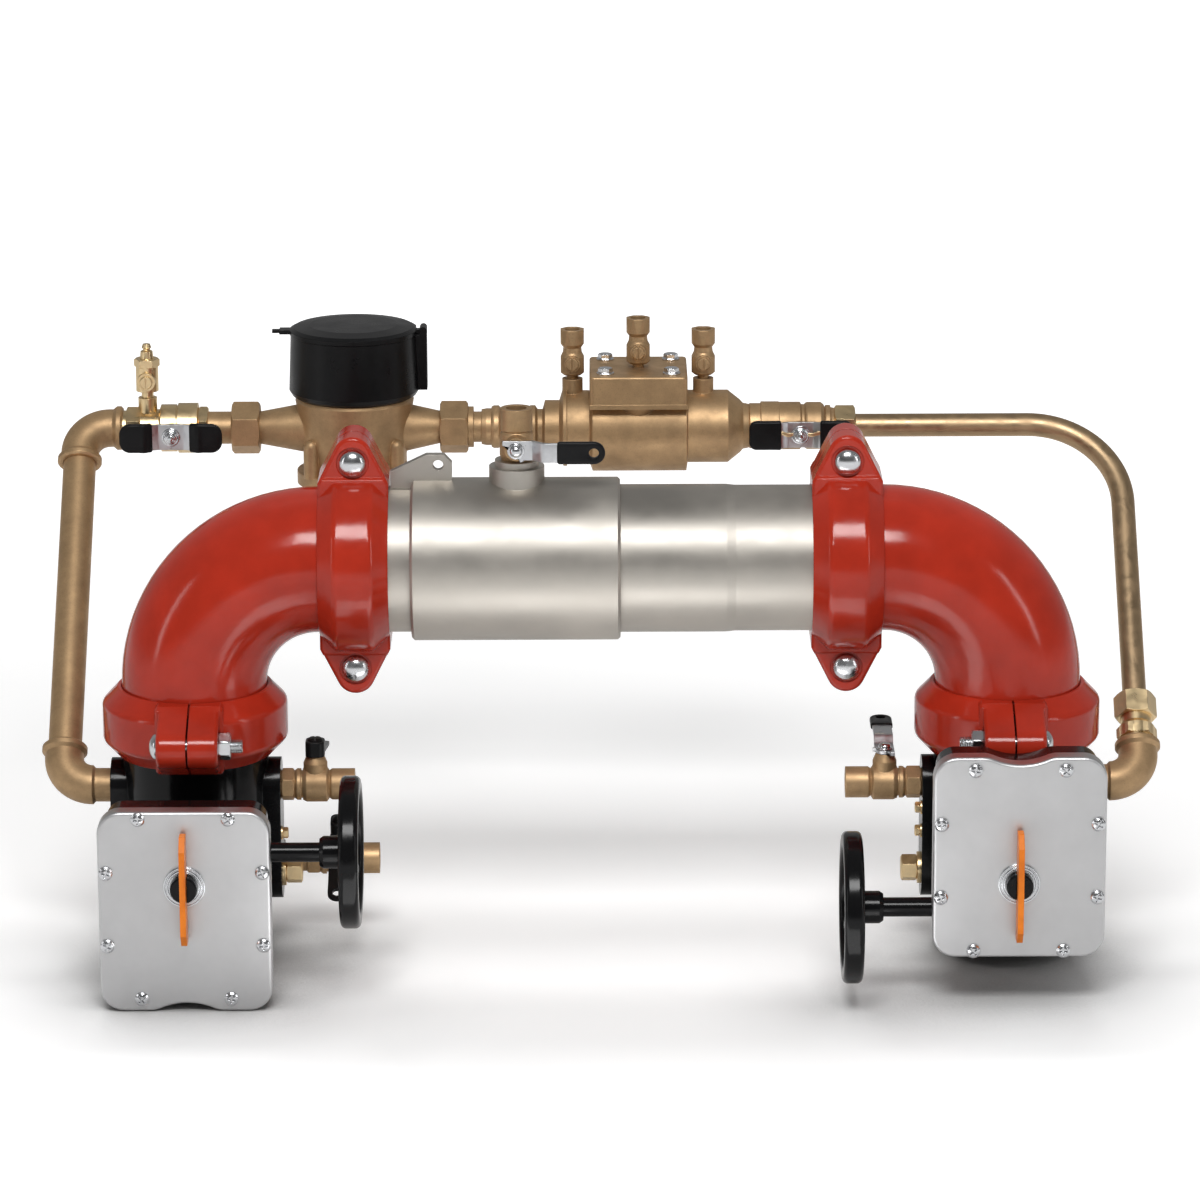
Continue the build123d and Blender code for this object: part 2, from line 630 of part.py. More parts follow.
def gear_cover():
    """Bright cover pan with rounded front edge and the stepped boss round the stem."""
    depth = COVER_FRONT - GEARBOX_SPLIT
    pan = extrude(cover_outline(), depth)
    pan = fillet(pan.faces().sort_by(Axis.Z)[-1].edges(), COVER_EDGE_R)
    pan = Pos(0, 0, GEARBOX_SPLIT) * pan
    pan -= gear_cavity(GEARBOX_SPLIT, COVER_FRONT - COVER_SKIN)
    boss = turned([(COVER_FRONT - 1, INDICATOR_BASE_R), (COVER_FRONT + 1, INDICATOR_BASE_R),
                   (COVER_FRONT + 1, INDICATOR_BASE_R - 2),
                   (COVER_FRONT + INDICATOR_BASE_HEIGHT, INDICATOR_BASE_R - 2)])
    pan += boss
    pan -= drill(STEM_R + RUN_CLEARANCE, GEARBOX_SPLIT, COVER_FRONT + INDICATOR_BASE_HEIGHT + 1)
    pan -= shaft_hole()
    for x, z in gear_screw_places():
        pan -= Pos(x, z, 0) * drill(SCREW_SHANK_R, GEARBOX_SPLIT - 1, COVER_FRONT + 1)
    return pan


def gear_screws():
    """Pan head cover screws."""
    head_top = COVER_FRONT + SCREW_HEAD_HEIGHT
    head = turned([(COVER_FRONT, SCREW_HEAD_R), (COVER_FRONT + 1.4, SCREW_HEAD_R),
                   (head_top - 0.6, SCREW_HEAD_R * 0.75), (head_top, SCREW_HEAD_R * 0.45)])
    screw = head + drill(SCREW_SHANK_R, GEARBOX_SPLIT - SCREW_GRIP, COVER_FRONT)
    wing = RECESS_WIDTH / 2
    reach = SCREW_HEAD_R * 0.62
    floor = head_top - RECESS_DEPTH
    screw -= block((-reach, -wing, floor), (reach, wing, head_top + 1))
    screw -= block((-wing, -reach, floor), (wing, reach, head_top + 1))
    return [Pos(x, z, 0) * Rot(0, 0, SCREW_TURN * number) * screw
            for number, (x, z) in enumerate(gear_screw_places())]


def at_operator(shape):
    """Operator pieces are drawn with the stem along Z and the worm side along Y."""
    return Pos(0, 0, STEM_Z) * TO_MINUS_Y * shape


def worm_shaft():
    """Worm shaft from its blind bearing to the handwheel."""
    blind = -COVER_WIDTH / 2 + GEARBOX_INSET + 3.5
    worm_half = WHEEL_TIP_R + 3
    steps = [(blind, SHAFT_R), (-worm_half, SHAFT_R), (-worm_half, WORM_ROOT_R),
             (worm_half, WORM_ROOT_R), (worm_half, SHAFT_R), (HANDWHEEL_X, SHAFT_R)]
    return Pos(0, WORM_OFFSET, GEARBOX_SPLIT) * TO_X * turned(steps)


def handwheel():
    """Cast handwheel: flat sided rim, dished web with windows between five spokes, stepped hub."""
    inner_r = HANDWHEEL_R - HANDWHEEL_RIM_DEPTH
    section = RectangleRounded(HANDWHEEL_RIM_DEPTH, HANDWHEEL_RIM_WIDTH, HANDWHEEL_RIM_CORNER)
    rim = revolve(Plane.XZ * Pos(HANDWHEEL_R - HANDWHEEL_RIM_DEPTH / 2, 0) * section, Axis.Z)
    half_web = HANDWHEEL_WEB / 2
    dish = HANDWHEEL_HUB_LENGTH / 4
    root_r = HANDWHEEL_HUB_R - 2
    profile = Polyline((root_r, -dish - half_web), (inner_r + 2, -half_web), (inner_r + 2, half_web),
                       (root_r, half_web - dish), close=True)
    web = revolve(Plane.XZ * make_face(profile), Axis.Z)
    window_low = HANDWHEEL_HUB_R + 5
    ring = Circle(inner_r - 2) - Circle(window_low)
    for spoke in range(HANDWHEEL_SPOKES):
        arm = Pos(inner_r / 2, 0) * Rectangle(inner_r + 8, HANDWHEEL_SPOKE_WIDTH)
        ring -= Rot(0, 0, spoke * 360 / HANDWHEEL_SPOKES) * arm
    ring = fillet(ring.vertices(), 3.0)
    web -= Pos(0, 0, -HANDWHEEL_HUB_LENGTH) * extrude(ring, 2 * HANDWHEEL_HUB_LENGTH)
    hub = turned([(-HANDWHEEL_HUB_LENGTH, HANDWHEEL_HUB_R - 2), (3 - HANDWHEEL_HUB_LENGTH, HANDWHEEL_HUB_R),
                  (2, HANDWHEEL_HUB_R), (4, HANDWHEEL_HUB_R - 2)])
    wheel = rim + web + hub
    wheel -= drill(SHAFT_R + 0.05, -HANDWHEEL_HUB_LENGTH - 1, 0)
    place = Pos(HANDWHEEL_X, WORM_OFFSET, GEARBOX_SPLIT)
    return place * TO_X * wheel


def check_housing():
    """Stainless housing tube with grooved ends and the test port's hole."""
    length = 2 * (MID_X - ELBOW_REACH - END_GAP)
    start = -length / 2
    steps = [(height + start, radius) for height, radius in grooved_steps(length)]
    head = [step for step in steps if step[0] < 0]
    tail = [step for step in steps if step[0] > 0]
    swell = [(SLEEVE_END, PIPE_R), (SLEEVE_END, TUBE_SWELL_OD / 2), (TUBE_SWELL_END, TUBE_SWELL_OD / 2),
             (TUBE_TAPER_END, PIPE_R)]
    tube = TO_X * turned(head + swell + tail, TUBE_BORE / 2)
    tube -= Pos(TEST_PORT_X, 0, 0) * drill(TEST_PORT_R, 0, PIPE_R + 1)
    return MIDDLE * tube


def access_sleeve():
    """Wider sleeve over the housing, with the lock lug and the test port boss."""
    outer = SLEEVE_OD / 2
    bore_r = PIPE_R + SEAT_CLEARANCE
    edge = 2.0
    steps = [(SLEEVE_START, outer - edge), (SLEEVE_START + edge, outer), (SLEEVE_END - edge, outer),
             (SLEEVE_END, outer - edge)]
    sleeve = TO_X * turned(steps)
    left = SLEEVE_START - LOCK_LUG_LEAD
    top = LOCK_LUG_TOP
    right = left + LOCK_LUG_LENGTH
    lug = Polyline((left, bore_r), (left, top - LOCK_LUG_SLOPE), (left + LOCK_LUG_FLAT[0], top),
                   (left + LOCK_LUG_FLAT[1], top), (right, top - LOCK_LUG_CHAMFER), (right, bore_r),
                   close=True)
    plate = extrude(Plane.XZ * make_face(lug), LOCK_LUG_THICKNESS / 2, both=True)
    plate -= Pos(left + LOCK_HOLE_X, 0, LOCK_HOLE_Z) * TO_Y * Cylinder(LOCK_HOLE_R, LOCK_LUG_THICKNESS + 2)
    ledge = TEST_BOSS_TOP - 5
    boss = turned([(0, TEST_BOSS_R), (ledge, TEST_BOSS_R), (ledge, TEST_BOSS_UPPER_R),
                   (TEST_BOSS_TOP, TEST_BOSS_UPPER_R)])
    sleeve += plate + Pos(TEST_PORT_X, 0, 0) * boss
    sleeve -= TO_X * drill(bore_r, SLEEVE_START - 20, SLEEVE_END + 1)
    sleeve -= Pos(TEST_PORT_X, 0, 0) * drill(TEST_PORT_R, 0, TEST_BOSS_TOP + 1)
    return MIDDLE * sleeve


def check_seat(x):
    """Seat ring of one check with its hinge ears and pin."""
    outer = TUBE_BORE / 2 - SEAT_CLEARANCE
    ring = Pos(x, 0, 0) * TO_X * turned([(-SEAT_RING_LENGTH, outer), (0, outer)], SEAT_BORE_R)
    eye_x = x + HINGE_STANDOFF
    for side in (-1, 1):
        ear = block((x - 2, side * 11 - 2, CLAPPER_HINGE_Z - HINGE_EYE_R),
                    (eye_x, side * 11 + 2, CLAPPER_HINGE_Z + HINGE_EYE_R))
        ring += ear + Pos(eye_x, side * 11, CLAPPER_HINGE_Z) * TO_Y * Cylinder(HINGE_EYE_R, 4)
    pin = Pos(eye_x, 0, CLAPPER_HINGE_Z) * TO_Y * Cylinder(HINGE_PIN_R, 26)
    return ring + pin


def clapper(x):
    """Clapper closed on its seat, hung from an eye on the hinge pin."""
    face = x + SEAT_CLEARANCE
    eye_x = x + HINGE_STANDOFF
    plate = Pos(face, 0, 0) * TO_X * turned([(0, CLAPPER_R), (CLAPPER_THICKNESS - 2, CLAPPER_R),
                                             (CLAPPER_THICKNESS, CLAPPER_R - 4)])
    arm = block((face, -7, 0), (face + CLAPPER_THICKNESS, 7, CLAPPER_HINGE_Z))
    eye = Pos(eye_x, 0, CLAPPER_HINGE_Z) * TO_Y * Cylinder(HINGE_EYE_R, 14)
    hole = Pos(eye_x, 0, CLAPPER_HINGE_Z) * TO_Y * Cylinder(HINGE_PIN_R + RUN_CLEARANCE, 30)
    return plate + arm + eye - hole


def slope_place(side, along):
    """Frame on the leaning leg: Z up the slope, X towards the valve, from the port corner."""
    x = -RISER_OUT if side < 0 else LEG_SPACING + RISER_OUT
    turn = Rot(0, 0, 0 if side < 0 else 180)
    return Pos(x, 0, PORT_UPPER_Z) * Rot(-BYPASS_LEAN, 0, 0) * turn * Pos(0, 0, along)


def elbow_bend(radius, wall_r):
    """Quarter bend from Z to X round the corner at the origin."""
    axis = Axis((STREET_BEND_R, 0, STREET_BEND_R), (0, 1, 0))
    section = Pos(0, 0, STREET_BEND_R) * (Circle(radius) - Circle(wall_r))
    return revolve(section, axis, -90)


def socket_end():
    """Socket collar along Z of an elbow, from the bend to the lip."""
    bottom = SOCKET_LIP - SOCKET_DEPTH
    outside = turned([(STREET_BEND_R, FITTING_R), (bottom + 2, FITTING_R), (bottom + 5, SOCKET_R),
                      (SOCKET_LIP - 1.5, SOCKET_R), (SOCKET_LIP, SOCKET_R - 1.5)], PIPE_34_BORE_R)
    return outside - drill(PIPE_34_R + SEAT_CLEARANCE, bottom, SOCKET_LIP + 1)


def street_elbow():
    """Street elbow: socket up the slope, male end in the valve's port."""
    reach = RISER_OUT - PORT_FACE_X
    male = turned([(STREET_BEND_R, FITTING_R), (STREET_BEND_R + 2, PIPE_34_R),
                   (reach, PIPE_34_R)], PIPE_34_BORE_R)
    thread_r = RISER_PORT_R - THREAD_CLEARANCE
    thread = turned([(reach, thread_r), (reach + THREAD_GRIP, thread_r)], PIPE_34_BORE_R)
    return elbow_bend(FITTING_R, PIPE_34_BORE_R) + socket_end() + TO_X * (male + thread)


def top_elbow():
    """Elbow at the head of the riser: socket down the slope and socket along the line."""
    bend = elbow_bend(FITTING_R, PIPE_34_BORE_R)
    return TO_X * (bend + socket_end() + TO_X * Rot(0, 0, 180) * socket_end())


def bypass_line():
    """Start of each bypass piece along X, from the riser's axis."""
    pieces = (("valve_a", BALL_VALVE_LENGTH), ("nipple", TAIL_NIPPLE), ("union_in", UNION_LENGTH),
              ("meter", METER_LEFT + METER_RIGHT), ("union_out", UNION_LENGTH),
              ("tailpiece", METER_TAILPIECE), ("coupling", LINE_COUPLING_LENGTH), ("check", CHECK_LENGTH),
              ("valve_b", BALL_VALVE_LENGTH), ("tube_nut", TUBE_NUT_LENGTH))
    starts = {}
    x = -RISER_OUT + SOCKET_LIP
    for name, length in pieces:
        starts[name] = x
        x += length
    starts["end"] = x
    return starts


LINE = bypass_line()


def on_line(name):
    """Place on the bypass axis, Z along the line, X towards the floor."""
    return Pos(LINE[name], BYPASS_Y, BYPASS_Z) * TO_X


def with_stem_boss(body):
    """Add a ball valve's stem boss to the front and bore it for the stem."""
    boss = Pos(0, 0, BALL_STEM_AT) * TO_MINUS_Y * drill(BALL_BOSS_R, 0, BALL_BOSS_REACH)
    hole = drill(BALL_STEM_R + RUN_CLEARANCE, BALL_STEM_SEAT, BALL_BOSS_REACH + 1)
    return body + boss - Pos(0, 0, BALL_STEM_AT) * TO_MINUS_Y * hole


def bleed_valve():
    """First ball valve about Z: hexagon ends, waist, two-part bulb and a boss for the bleed cock."""
    neck_r = BALL_HEX_ACROSS / 2
    steps = [(0, PORT_COLLAR_R), (BALL_HEX_START, PORT_COLLAR_R), (BALL_HEX_END, neck_r),
             (BALL_WAIST_END, neck_r), (BALL_WAIST_END + 1.5, 19.5), (BALL_SEAM - 1, 19.5),
             (BALL_SEAM - 1, 18.6), (BALL_SEAM, 18.6), (BALL_SEAM + 0.5, BALL_BULB_R),
             (BALL_BULB_END - 1, BALL_BULB_R), (BALL_BULB_END, 16.0), (BALL_VALVE_LENGTH, PORT_COLLAR_R)]
    body = turned(steps) + hex_bar(BALL_HEX_ACROSS, BALL_HEX_START, BALL_HEX_END)
    body += hex_bar(BALL_HEX_ACROSS, BALL_BULB_END, BALL_VALVE_LENGTH)
    body += Pos(0, 0, BLEED_AT) * TO_MINUS_X * drill(BLEED_BOSS_R, 0, BLEED_BOSS_TOP)
    seat = drill(BLEED_NECK_R + THREAD_CLEARANCE, BLEED_BOSS_TOP - 8, BLEED_BOSS_TOP + 1)
    body -= Pos(0, 0, BLEED_AT) * TO_MINUS_X * seat
    return with_stem_boss(body)


def round_valve():
    """Second ball valve about Z: turned end, banded bulb, groove, tail and its small end collar."""
    r = ROUND_VALVE_R
    end = ROUND_VALVE_END
    steps = [(0, r - 2.4), (0.8, r - 1.4), (9.5, r - 1.4), (9.8, r), (24.6, r), (24.8, r - 0.4)]
    steps += [(42.0, r - 0.4), (43.2, r - 2.4), (45.4, r - 2.4), (46.6, r - 1.1), (48.0, r - 0.6)]
    steps += [(end - 2.5, r - 0.6), (end, r - 2.6), (end + 0.8, r - 4.6), (end + 1.5, r - 3.1)]
    steps += [(end + 5.1, r - 3.1), (end + 5.9, r - 5.0), (BALL_VALVE_LENGTH, PORT_COLLAR_R)]
    return with_stem_boss(turned(steps))


def tee_handle(joggle):
    """Tee handle flat in XZ about its stem at the origin: strap with stem and dome nut, and two grips."""
    half = TEE_SPAN / 2
    front = BALL_BOSS_REACH + SEAT_CLEARANCE
    height = TEE_STRAP_HEIGHT + 2 * GRIP_WALL
    tall = LEVER_THICKNESS + joggle[2] + 2 * GRIP_WALL
    inside = RectangleRounded(2 * (half - GRIP_WALL), TEE_STRAP_HEIGHT, TEE_GRIP_CORNER_R - GRIP_WALL)
    outside = RectangleRounded(2 * half, height, TEE_GRIP_CORNER_R)
    wing = joggled_bar(-0.1, half, joggle, 0, LEVER_THICKNESS, height) & extrude(inside, tall)
    strap = wing + mirror(wing, Plane.YZ)
    cover = joggled_bar(0, half, joggle, -GRIP_WALL, LEVER_THICKNESS + GRIP_WALL, height)
    cover = cover & (Pos(0, 0, -GRIP_WALL) * extrude(outside, tall))
    cover = (cover & block((TEE_GRIP_START, -half, -half), (half + 1, half, half))) - strap
    stem = drill(BALL_STEM_R, BALL_STEM_SEAT + 0.5 - front, 0.5)
    top = LEVER_THICKNESS
    nut = turned([(top - 0.1, TEE_NUT_R), (top + 3, TEE_NUT_R), (top + 5, TEE_NUT_R - 1.5),
                  (top + 6.5, TEE_NUT_R - 4.4)])
    pieces = (strap + stem + nut, cover, mirror(cover, Plane.YZ))
    return [TO_MINUS_Y * Pos(0, 0, front) * piece for piece in pieces]


def bleed_cock():
    """Brass bleed cock standing on the first ball valve, with its screw's boss to the front."""
    high = BLEED_BODY_HIGH
    low = BLEED_BODY_LOW
    steps = [(BLEED_BOSS_TOP - 7, BLEED_NECK_R), (low, BLEED_NECK_R), (low, BLEED_BODY_R)]
    steps += [(high, BLEED_BODY_R), (high, 5.6), (high + 6, 5.0), (high + 7, 3.0), (high + 8, 3.0)]
    steps += [(high + 9, 4.0), (high + 12, 3.0)]
    cock = turned(steps) + hex_bar(2 * BLEED_BODY_R, high - 7, high)
    at_screw = Pos(0, 0, BLEED_SCREW_Z) * TO_MINUS_Y
    cock += at_screw * drill(BLEED_SCREW_BOSS_R, 0, BLEED_FACE)
    return cock - at_screw * drill(COCK_SCREW_R + RUN_CLEARANCE, 2, BLEED_FACE + 1)


def cock_screw(face):
    """Slotted quarter turn screw along Z in a cock's boss."""
    tip = face + 2.2
    screw = drill(COCK_SCREW_R, 2.5, tip - 0.6) + turned([(face + 0.1, COCK_SCREW_R + 1.2),
                                                          (tip - 0.6, COCK_SCREW_R + 1.2),
                                                          (tip, COCK_SCREW_R + 0.6)])
    return TO_MINUS_Y * (screw - block((-0.6, -8, tip - 1.2), (0.6, 8, tip + 1)))


def octagon_bar(across, low, high):
    """Plain octagon bar about Z with a flat to the front."""
    outline = Rot(0, 0, 22.5) * RegularPolygon(across / 2, 8, major_radius=False)
    return Pos(0, 0, low) * extrude(outline, high - low)


def test_cock():
    """Small bronze test cock standing on Z = 0, faceted body and collar, screw boss to the front."""
    steps = [(-COCK_NECK_DEPTH, COCK_NECK_R), (3, COCK_NECK_R), (3, 7.2), (5, 9.7), (18, 9.9), (22, 7.9),
             (26, 7.4), (29, 9.6), (38, 10.1), (COCK_HEIGHT, 10.2)]
    body = turned(steps) & octagon_bar(COCK_ACROSS, -COCK_NECK_DEPTH, COCK_HEIGHT)
    body -= turned([(28, 0.01), (31, 5.6), (COCK_HEIGHT + 1, 6.4)])
    at_screw = Pos(0, 0, COCK_SCREW_Z) * TO_MINUS_Y
    body += at_screw * drill(COCK_BOSS_R, 0, COCK_FACE)
    return body - at_screw * drill(COCK_SCREW_R + RUN_CLEARANCE, 2, COCK_FACE + 1)


def nipple(length):
    """Short pipe nipple along Z with its bore."""
    return turned([(0, PIPE_34_R), (length, PIPE_34_R)], PIPE_34_BORE_R)


def union_nut():
    """Union nut along Z, turned collar behind its hexagon."""
    nut = hex_bar(UNION_ACROSS, 0, UNION_LENGTH, 1.6)
    return nut - drill(PIPE_34_R + SEAT_CLEARANCE, -1, UNION_LENGTH + 1)


def meter_body():
    """Water meter case about its own Z: pot, bolt columns, bottom flange and two tapered spuds."""
    case = turned([(METER_BOTTOM, METER_POT_R - 4), (METER_BOTTOM + 2, METER_FLANGE_R),
                   (METER_FLANGE_TOP, METER_FLANGE_R), (METER_FLANGE_TOP, METER_POT_R - 4),
                   (-12, METER_POT_R), (8, METER_POT_R + 2), (REGISTER_LOW - 3, REGISTER_R - 3),
                   (REGISTER_LOW, REGISTER_R - 4)])
    for turn, reach in ((TO_MINUS_X, METER_LEFT), (TO_X, METER_RIGHT)):
        case += turn * turned([(0, METER_SPUD_R), (METER_SPUD_START, METER_SPUD_R), (reach, PIPE_34_R),
                               (reach + THREAD_GRIP, PIPE_34_R)])
    for x in (-METER_COLUMN_X, METER_COLUMN_X):
        for y in (-METER_COLUMN_Y, METER_COLUMN_Y):
            column = drill(METER_COLUMN_R, METER_FLANGE_TOP - 1, METER_COLUMN_TOP)
            column += Pos(0, 0, METER_COLUMN_TOP) * Sphere(METER_COLUMN_R)
            case += Pos(x, y, 0) * column
    pocket = drill(CAPSULE_R + SEAT_CLEARANCE, REGISTER_LOW - 8, REGISTER_LOW + 1)
    return case - pocket


def meter_register():
    """Register capsule under the lid, with a sloping shoulder round its glass."""
    top = REGISTER_HIGH - 10
    return turned([(REGISTER_LOW - 8, CAPSULE_R), (top - 4, CAPSULE_R), (top, CAPSULE_R - 3.7)])


def register_box():
    """Black register box with its rounded foot, open top and the hinge post on the outlet side."""
    flare_r = REGISTER_R + REGISTER_FLARE
    steps = [(REGISTER_LOW, flare_r - 6), (REGISTER_LOW + 2, flare_r - 2.5),
             (REGISTER_LOW + 6, flare_r), (REGISTER_HIGH, REGISTER_R)]
    box = turned(steps) - drill(REGISTER_R - 4, REGISTER_LOW + 3, REGISTER_HIGH + 1)
    box -= drill(CAPSULE_R + SEAT_CLEARANCE, REGISTER_LOW - 1, REGISTER_HIGH)
    post = block((REGISTER_R - 2, -8, REGISTER_LOW + 6), (HINGE_X + KNUCKLE_R, 8, REGISTER_HIGH))
    box += post - drill(REGISTER_R - 4, REGISTER_LOW, REGISTER_HIGH + 1)
    for y in (-KNUCKLE_Y, KNUCKLE_Y):
        box += block((HINGE_X - KNUCKLE_R, y - 2, REGISTER_HIGH - 1), (HINGE_X + KNUCKLE_R, y + 2, HINGE_Z))
        box += Pos(HINGE_X, y, HINGE_Z) * TO_Y * Cylinder(KNUCKLE_R, 4)
    return box + Pos(HINGE_X, 0, HINGE_Z) * TO_Y * Cylinder(LID_PIN_R, 12)


def register_lid():
    """Hinged lid with a domed top, a lifting tab on the inlet side and a hinge knuckle."""
    base = REGISTER_HIGH + SEAT_CLEARANCE
    lid = turned([(base, REGISTER_R + 0.8), (base + 3.5, REGISTER_R + 0.8), (base + 5.5, REGISTER_R - 3),
                  (LID_TOP - 0.4, REGISTER_R - 16), (LID_TOP, REGISTER_R - 34)])
    lid += block((-REGISTER_R - 9, -6, base), (-REGISTER_R + 3, 6, base + 3.5))
    lid += block((-REGISTER_R - 15, -3, base + 0.5), (-REGISTER_R - 8, 3, base + 3))
    lid -= block((HINGE_X - 6, -12, base - 1), (HINGE_X + 9, 12, LID_TOP + 1))
    knuckle = Pos(HINGE_X, 0, HINGE_Z) * TO_Y * Cylinder(KNUCKLE_R, 7.4)
    arm = block((REGISTER_R - 12, -3.7, base), (HINGE_X, 3.7, base + 3.2))
    return lid + knuckle + arm - Pos(HINGE_X, 0, HINGE_Z) * TO_Y * Cylinder(LID_PIN_R + RUN_CLEARANCE, 40)


def line_coupling():
    """Banded coupling along Z between the meter tailpiece and the double check."""
    end = LINE_COUPLING_LENGTH
    steps = [(0, LINE_BEAD_R - 1), (2, LINE_BEAD_R), (6, LINE_BEAD_R), (8, LINE_NECK_R)]
    steps += [(end - 12, LINE_NECK_R), (end - 10, LINE_BEAD_R), (end - 6, LINE_BEAD_R)]
    steps += [(end - 4, PORT_COLLAR_R), (end, PORT_COLLAR_R)]
    return turned(steps, PIPE_34_BORE_R)


def tailpiece():
    """Meter tailpiece along Z: shoulder behind the union nut and two small rings."""
    steps = [(-THREAD_GRIP, PIPE_34_R), (0, PIPE_34_R), (0, 16.8), (4.5, 16.8), (4.5, 12.6), (11, 12.6)]
    steps += [(11, 14.4), (15, LINE_NECK_R), (METER_TAILPIECE, LINE_NECK_R)]
    return turned(steps, PIPE_34_BORE_R)


def bypass_check_body():
    """Double check body about Z, square cover pad on top and test cock bosses."""
    steps = [(0, PORT_COLLAR_R), (2, CHECK_END_R), (13.8, CHECK_END_R)]
    steps += [(17, CHECK_RING_R), (20, CHECK_RING_R)]
    steps += [(20, CHECK_SIDE_R), (CHECK_MID_START, CHECK_SIDE_R), (CHECK_MID_START + 2.5, CHECK_MID_R)]
    steps += [(CHECK_MID_END, CHECK_MID_R), (CHECK_MID_END + 1, CHECK_SIDE_R), (152, CHECK_SIDE_R)]
    steps += [(162, CHECK_END_R), (164.5, CHECK_TAIL_R + 1), (CHECK_LENGTH, CHECK_TAIL_R)]
    body = TO_X * turned(steps)
    middle = CHECK_COVER_X
    half = CHECK_COVER_SIZE / 2
    pad = block((middle - half, -half, CHECK_PAD_LOW), (middle + half, half, CHECK_COVER_LOW))
    neck = block((middle - half + 4, -half + 12, 0), (middle + half - 4, half - 12, CHECK_COVER_LOW))
    body += pad + neck
    bump_r = 18.0
    bump = turned([(CHECK_COVER_LOW - bump_r - CHECK_PAD_LOW, 4.0), (0, bump_r)])
    body += Pos(middle, SEAT_CLEARANCE - half + bump_r, CHECK_PAD_LOW) * bump
    for x in CHECK_SIDE_COCKS:
        body += Pos(x, 0, 0) * drill(CHECK_BOSS_R, 0, CHECK_BOSS_TOP)
        body -= Pos(x, 0, 0) * drill(COCK_NECK_R + THREAD_CLEARANCE, CHECK_BOSS_TOP - COCK_NECK_DEPTH - 1,
                                     CHECK_BOSS_TOP + 1)
    wide = half + SEAT_CLEARANCE
    body -= block((middle - wide, -CHECK_MID_R - 9, CHECK_COVER_LOW),
                  (middle + wide, CHECK_MID_R + 9, CHECK_COVER_TOP))
    for x, y in check_bolt_places():
        body -= Pos(x, y, 0) * drill(CHECK_BOLT_HOLE_R, CHECK_PAD_LOW - 1, CHECK_COVER_LOW + 1)
    mouths = drill(PIPE_34_BORE_R, -1, 12) + drill(PIPE_34_BORE_R, CHECK_LENGTH - 12, CHECK_LENGTH + 1)
    return body - TO_X * mouths


def bypass_check_cover():
    """Square cover with rounded corners and four bolt holes."""
    thickness = CHECK_COVER_TOP - CHECK_COVER_LOW
    plate = extrude(RectangleRounded(CHECK_COVER_SIZE, CHECK_COVER_SIZE, 4), thickness)
    plate = fillet(plate.faces().sort_by(Axis.Z)[-1].edges(), 2.0)
    cover = Pos(CHECK_COVER_X, 0, CHECK_COVER_LOW) * plate
    for x, y in check_bolt_places():
        cover -= Pos(x, y, 0) * drill(CHECK_BOLT_HOLE_R, CHECK_COVER_LOW - 1, CHECK_COVER_TOP + 1)
    seat = drill(COCK_NECK_R + THREAD_CLEARANCE, CHECK_COVER_TOP - COCK_NECK_DEPTH - 1, CHECK_COVER_TOP + 1)
    return cover - Pos(CHECK_COVER_X, 0, 0) * seat


def check_bolt_places():
    """Cover bolt centres on a square about the cover's middle."""
    half = CHECK_BOLT_SPACING / 2
    return [(CHECK_COVER_X + sx * half, sy * half) for sx in (-1, 1) for sy in (-1, 1)]


def cover_bolt():
    """Flanged hexagon bolt standing on the cover's top."""
    head = turned([(0, 7.2), (1.2, 7.2), (1.6, 6.0), (2, 6.0)]) + hex_bar(10.5, 1.2, 5.2, 0.6)
    return head + drill(3.0, CHECK_PAD_LOW - CHECK_COVER_TOP, 0.5)


def compression_nut(length):
    """Compression nut along Z round the tube, chamfered on the tube's side."""
    nut = hex_bar(TUBE_NUT_ACROSS, 0, length, 1.5)
    return nut - drill(TUBE_OD / 2 + SEAT_CLEARANCE, -1, length + 1)


def tube_adapter():
    """Adapter up the slope from the street elbow's socket: hexagon, neck and nut seat."""
    low = SOCKET_LIP - SOCKET_DEPTH
    shoulder = SOCKET_LIP + 3
    steps = [(low, ADAPTER_SPIGOT_R), (shoulder, ADAPTER_SPIGOT_R), (shoulder, PORT_COLLAR_R)]
    steps += [(ADAPTER_HEX_END, PORT_COLLAR_R), (ADAPTER_HEX_END + 3, ADAPTER_NECK_R)]
    steps += [(TUBE_NUT_START, ADAPTER_NECK_R)]
    hexagon = hex_bar(2 * PORT_COLLAR_R - 1, shoulder, ADAPTER_HEX_END)
    return turned(steps) + hexagon - drill(TUBE_OD / 2 - TUBE_WALL, low - 1, TUBE_NUT_START + 1)


def bypass_tube():
    """Bent tube from the second valve's nut, round the bend and down to the adapter."""
    outer = TUBE_OD / 2
    inner = outer - TUBE_WALL
    corner_x = LEG_SPACING + RISER_OUT
    run = corner_x - TUBE_BEND_R - LINE["tube_nut"]
    level = on_line("tube_nut") * turned([(0, outer), (run, outer)], inner)
    down = Rot(-BYPASS_LEAN, 0, 0)
    head = Pos(corner_x, BYPASS_Y, BYPASS_Z) * down
    section = Pos(0, 0, -TUBE_BEND_R) * (Circle(outer) - Circle(inner))
    bend = revolve(section, Axis((-TUBE_BEND_R, 0, -TUBE_BEND_R), (0, 1, 0)), -90)
    drop = BYPASS_SLOPE - TUBE_BEND_R - TUBE_NUT_START
    leg = Pos(0, 0, -TUBE_BEND_R - drop) * turned([(0, outer), (drop, outer)], inner)
    return level + head * (bend + leg)


def riser_pipe():
    """Straight riser between the street elbow's and the top elbow's sockets."""
    low = SOCKET_LIP - SOCKET_DEPTH + SEAT_CLEARANCE
    high = BYPASS_SLOPE - low
    return turned([(low, PIPE_34_R), (high, PIPE_34_R)], PIPE_34_BORE_R)


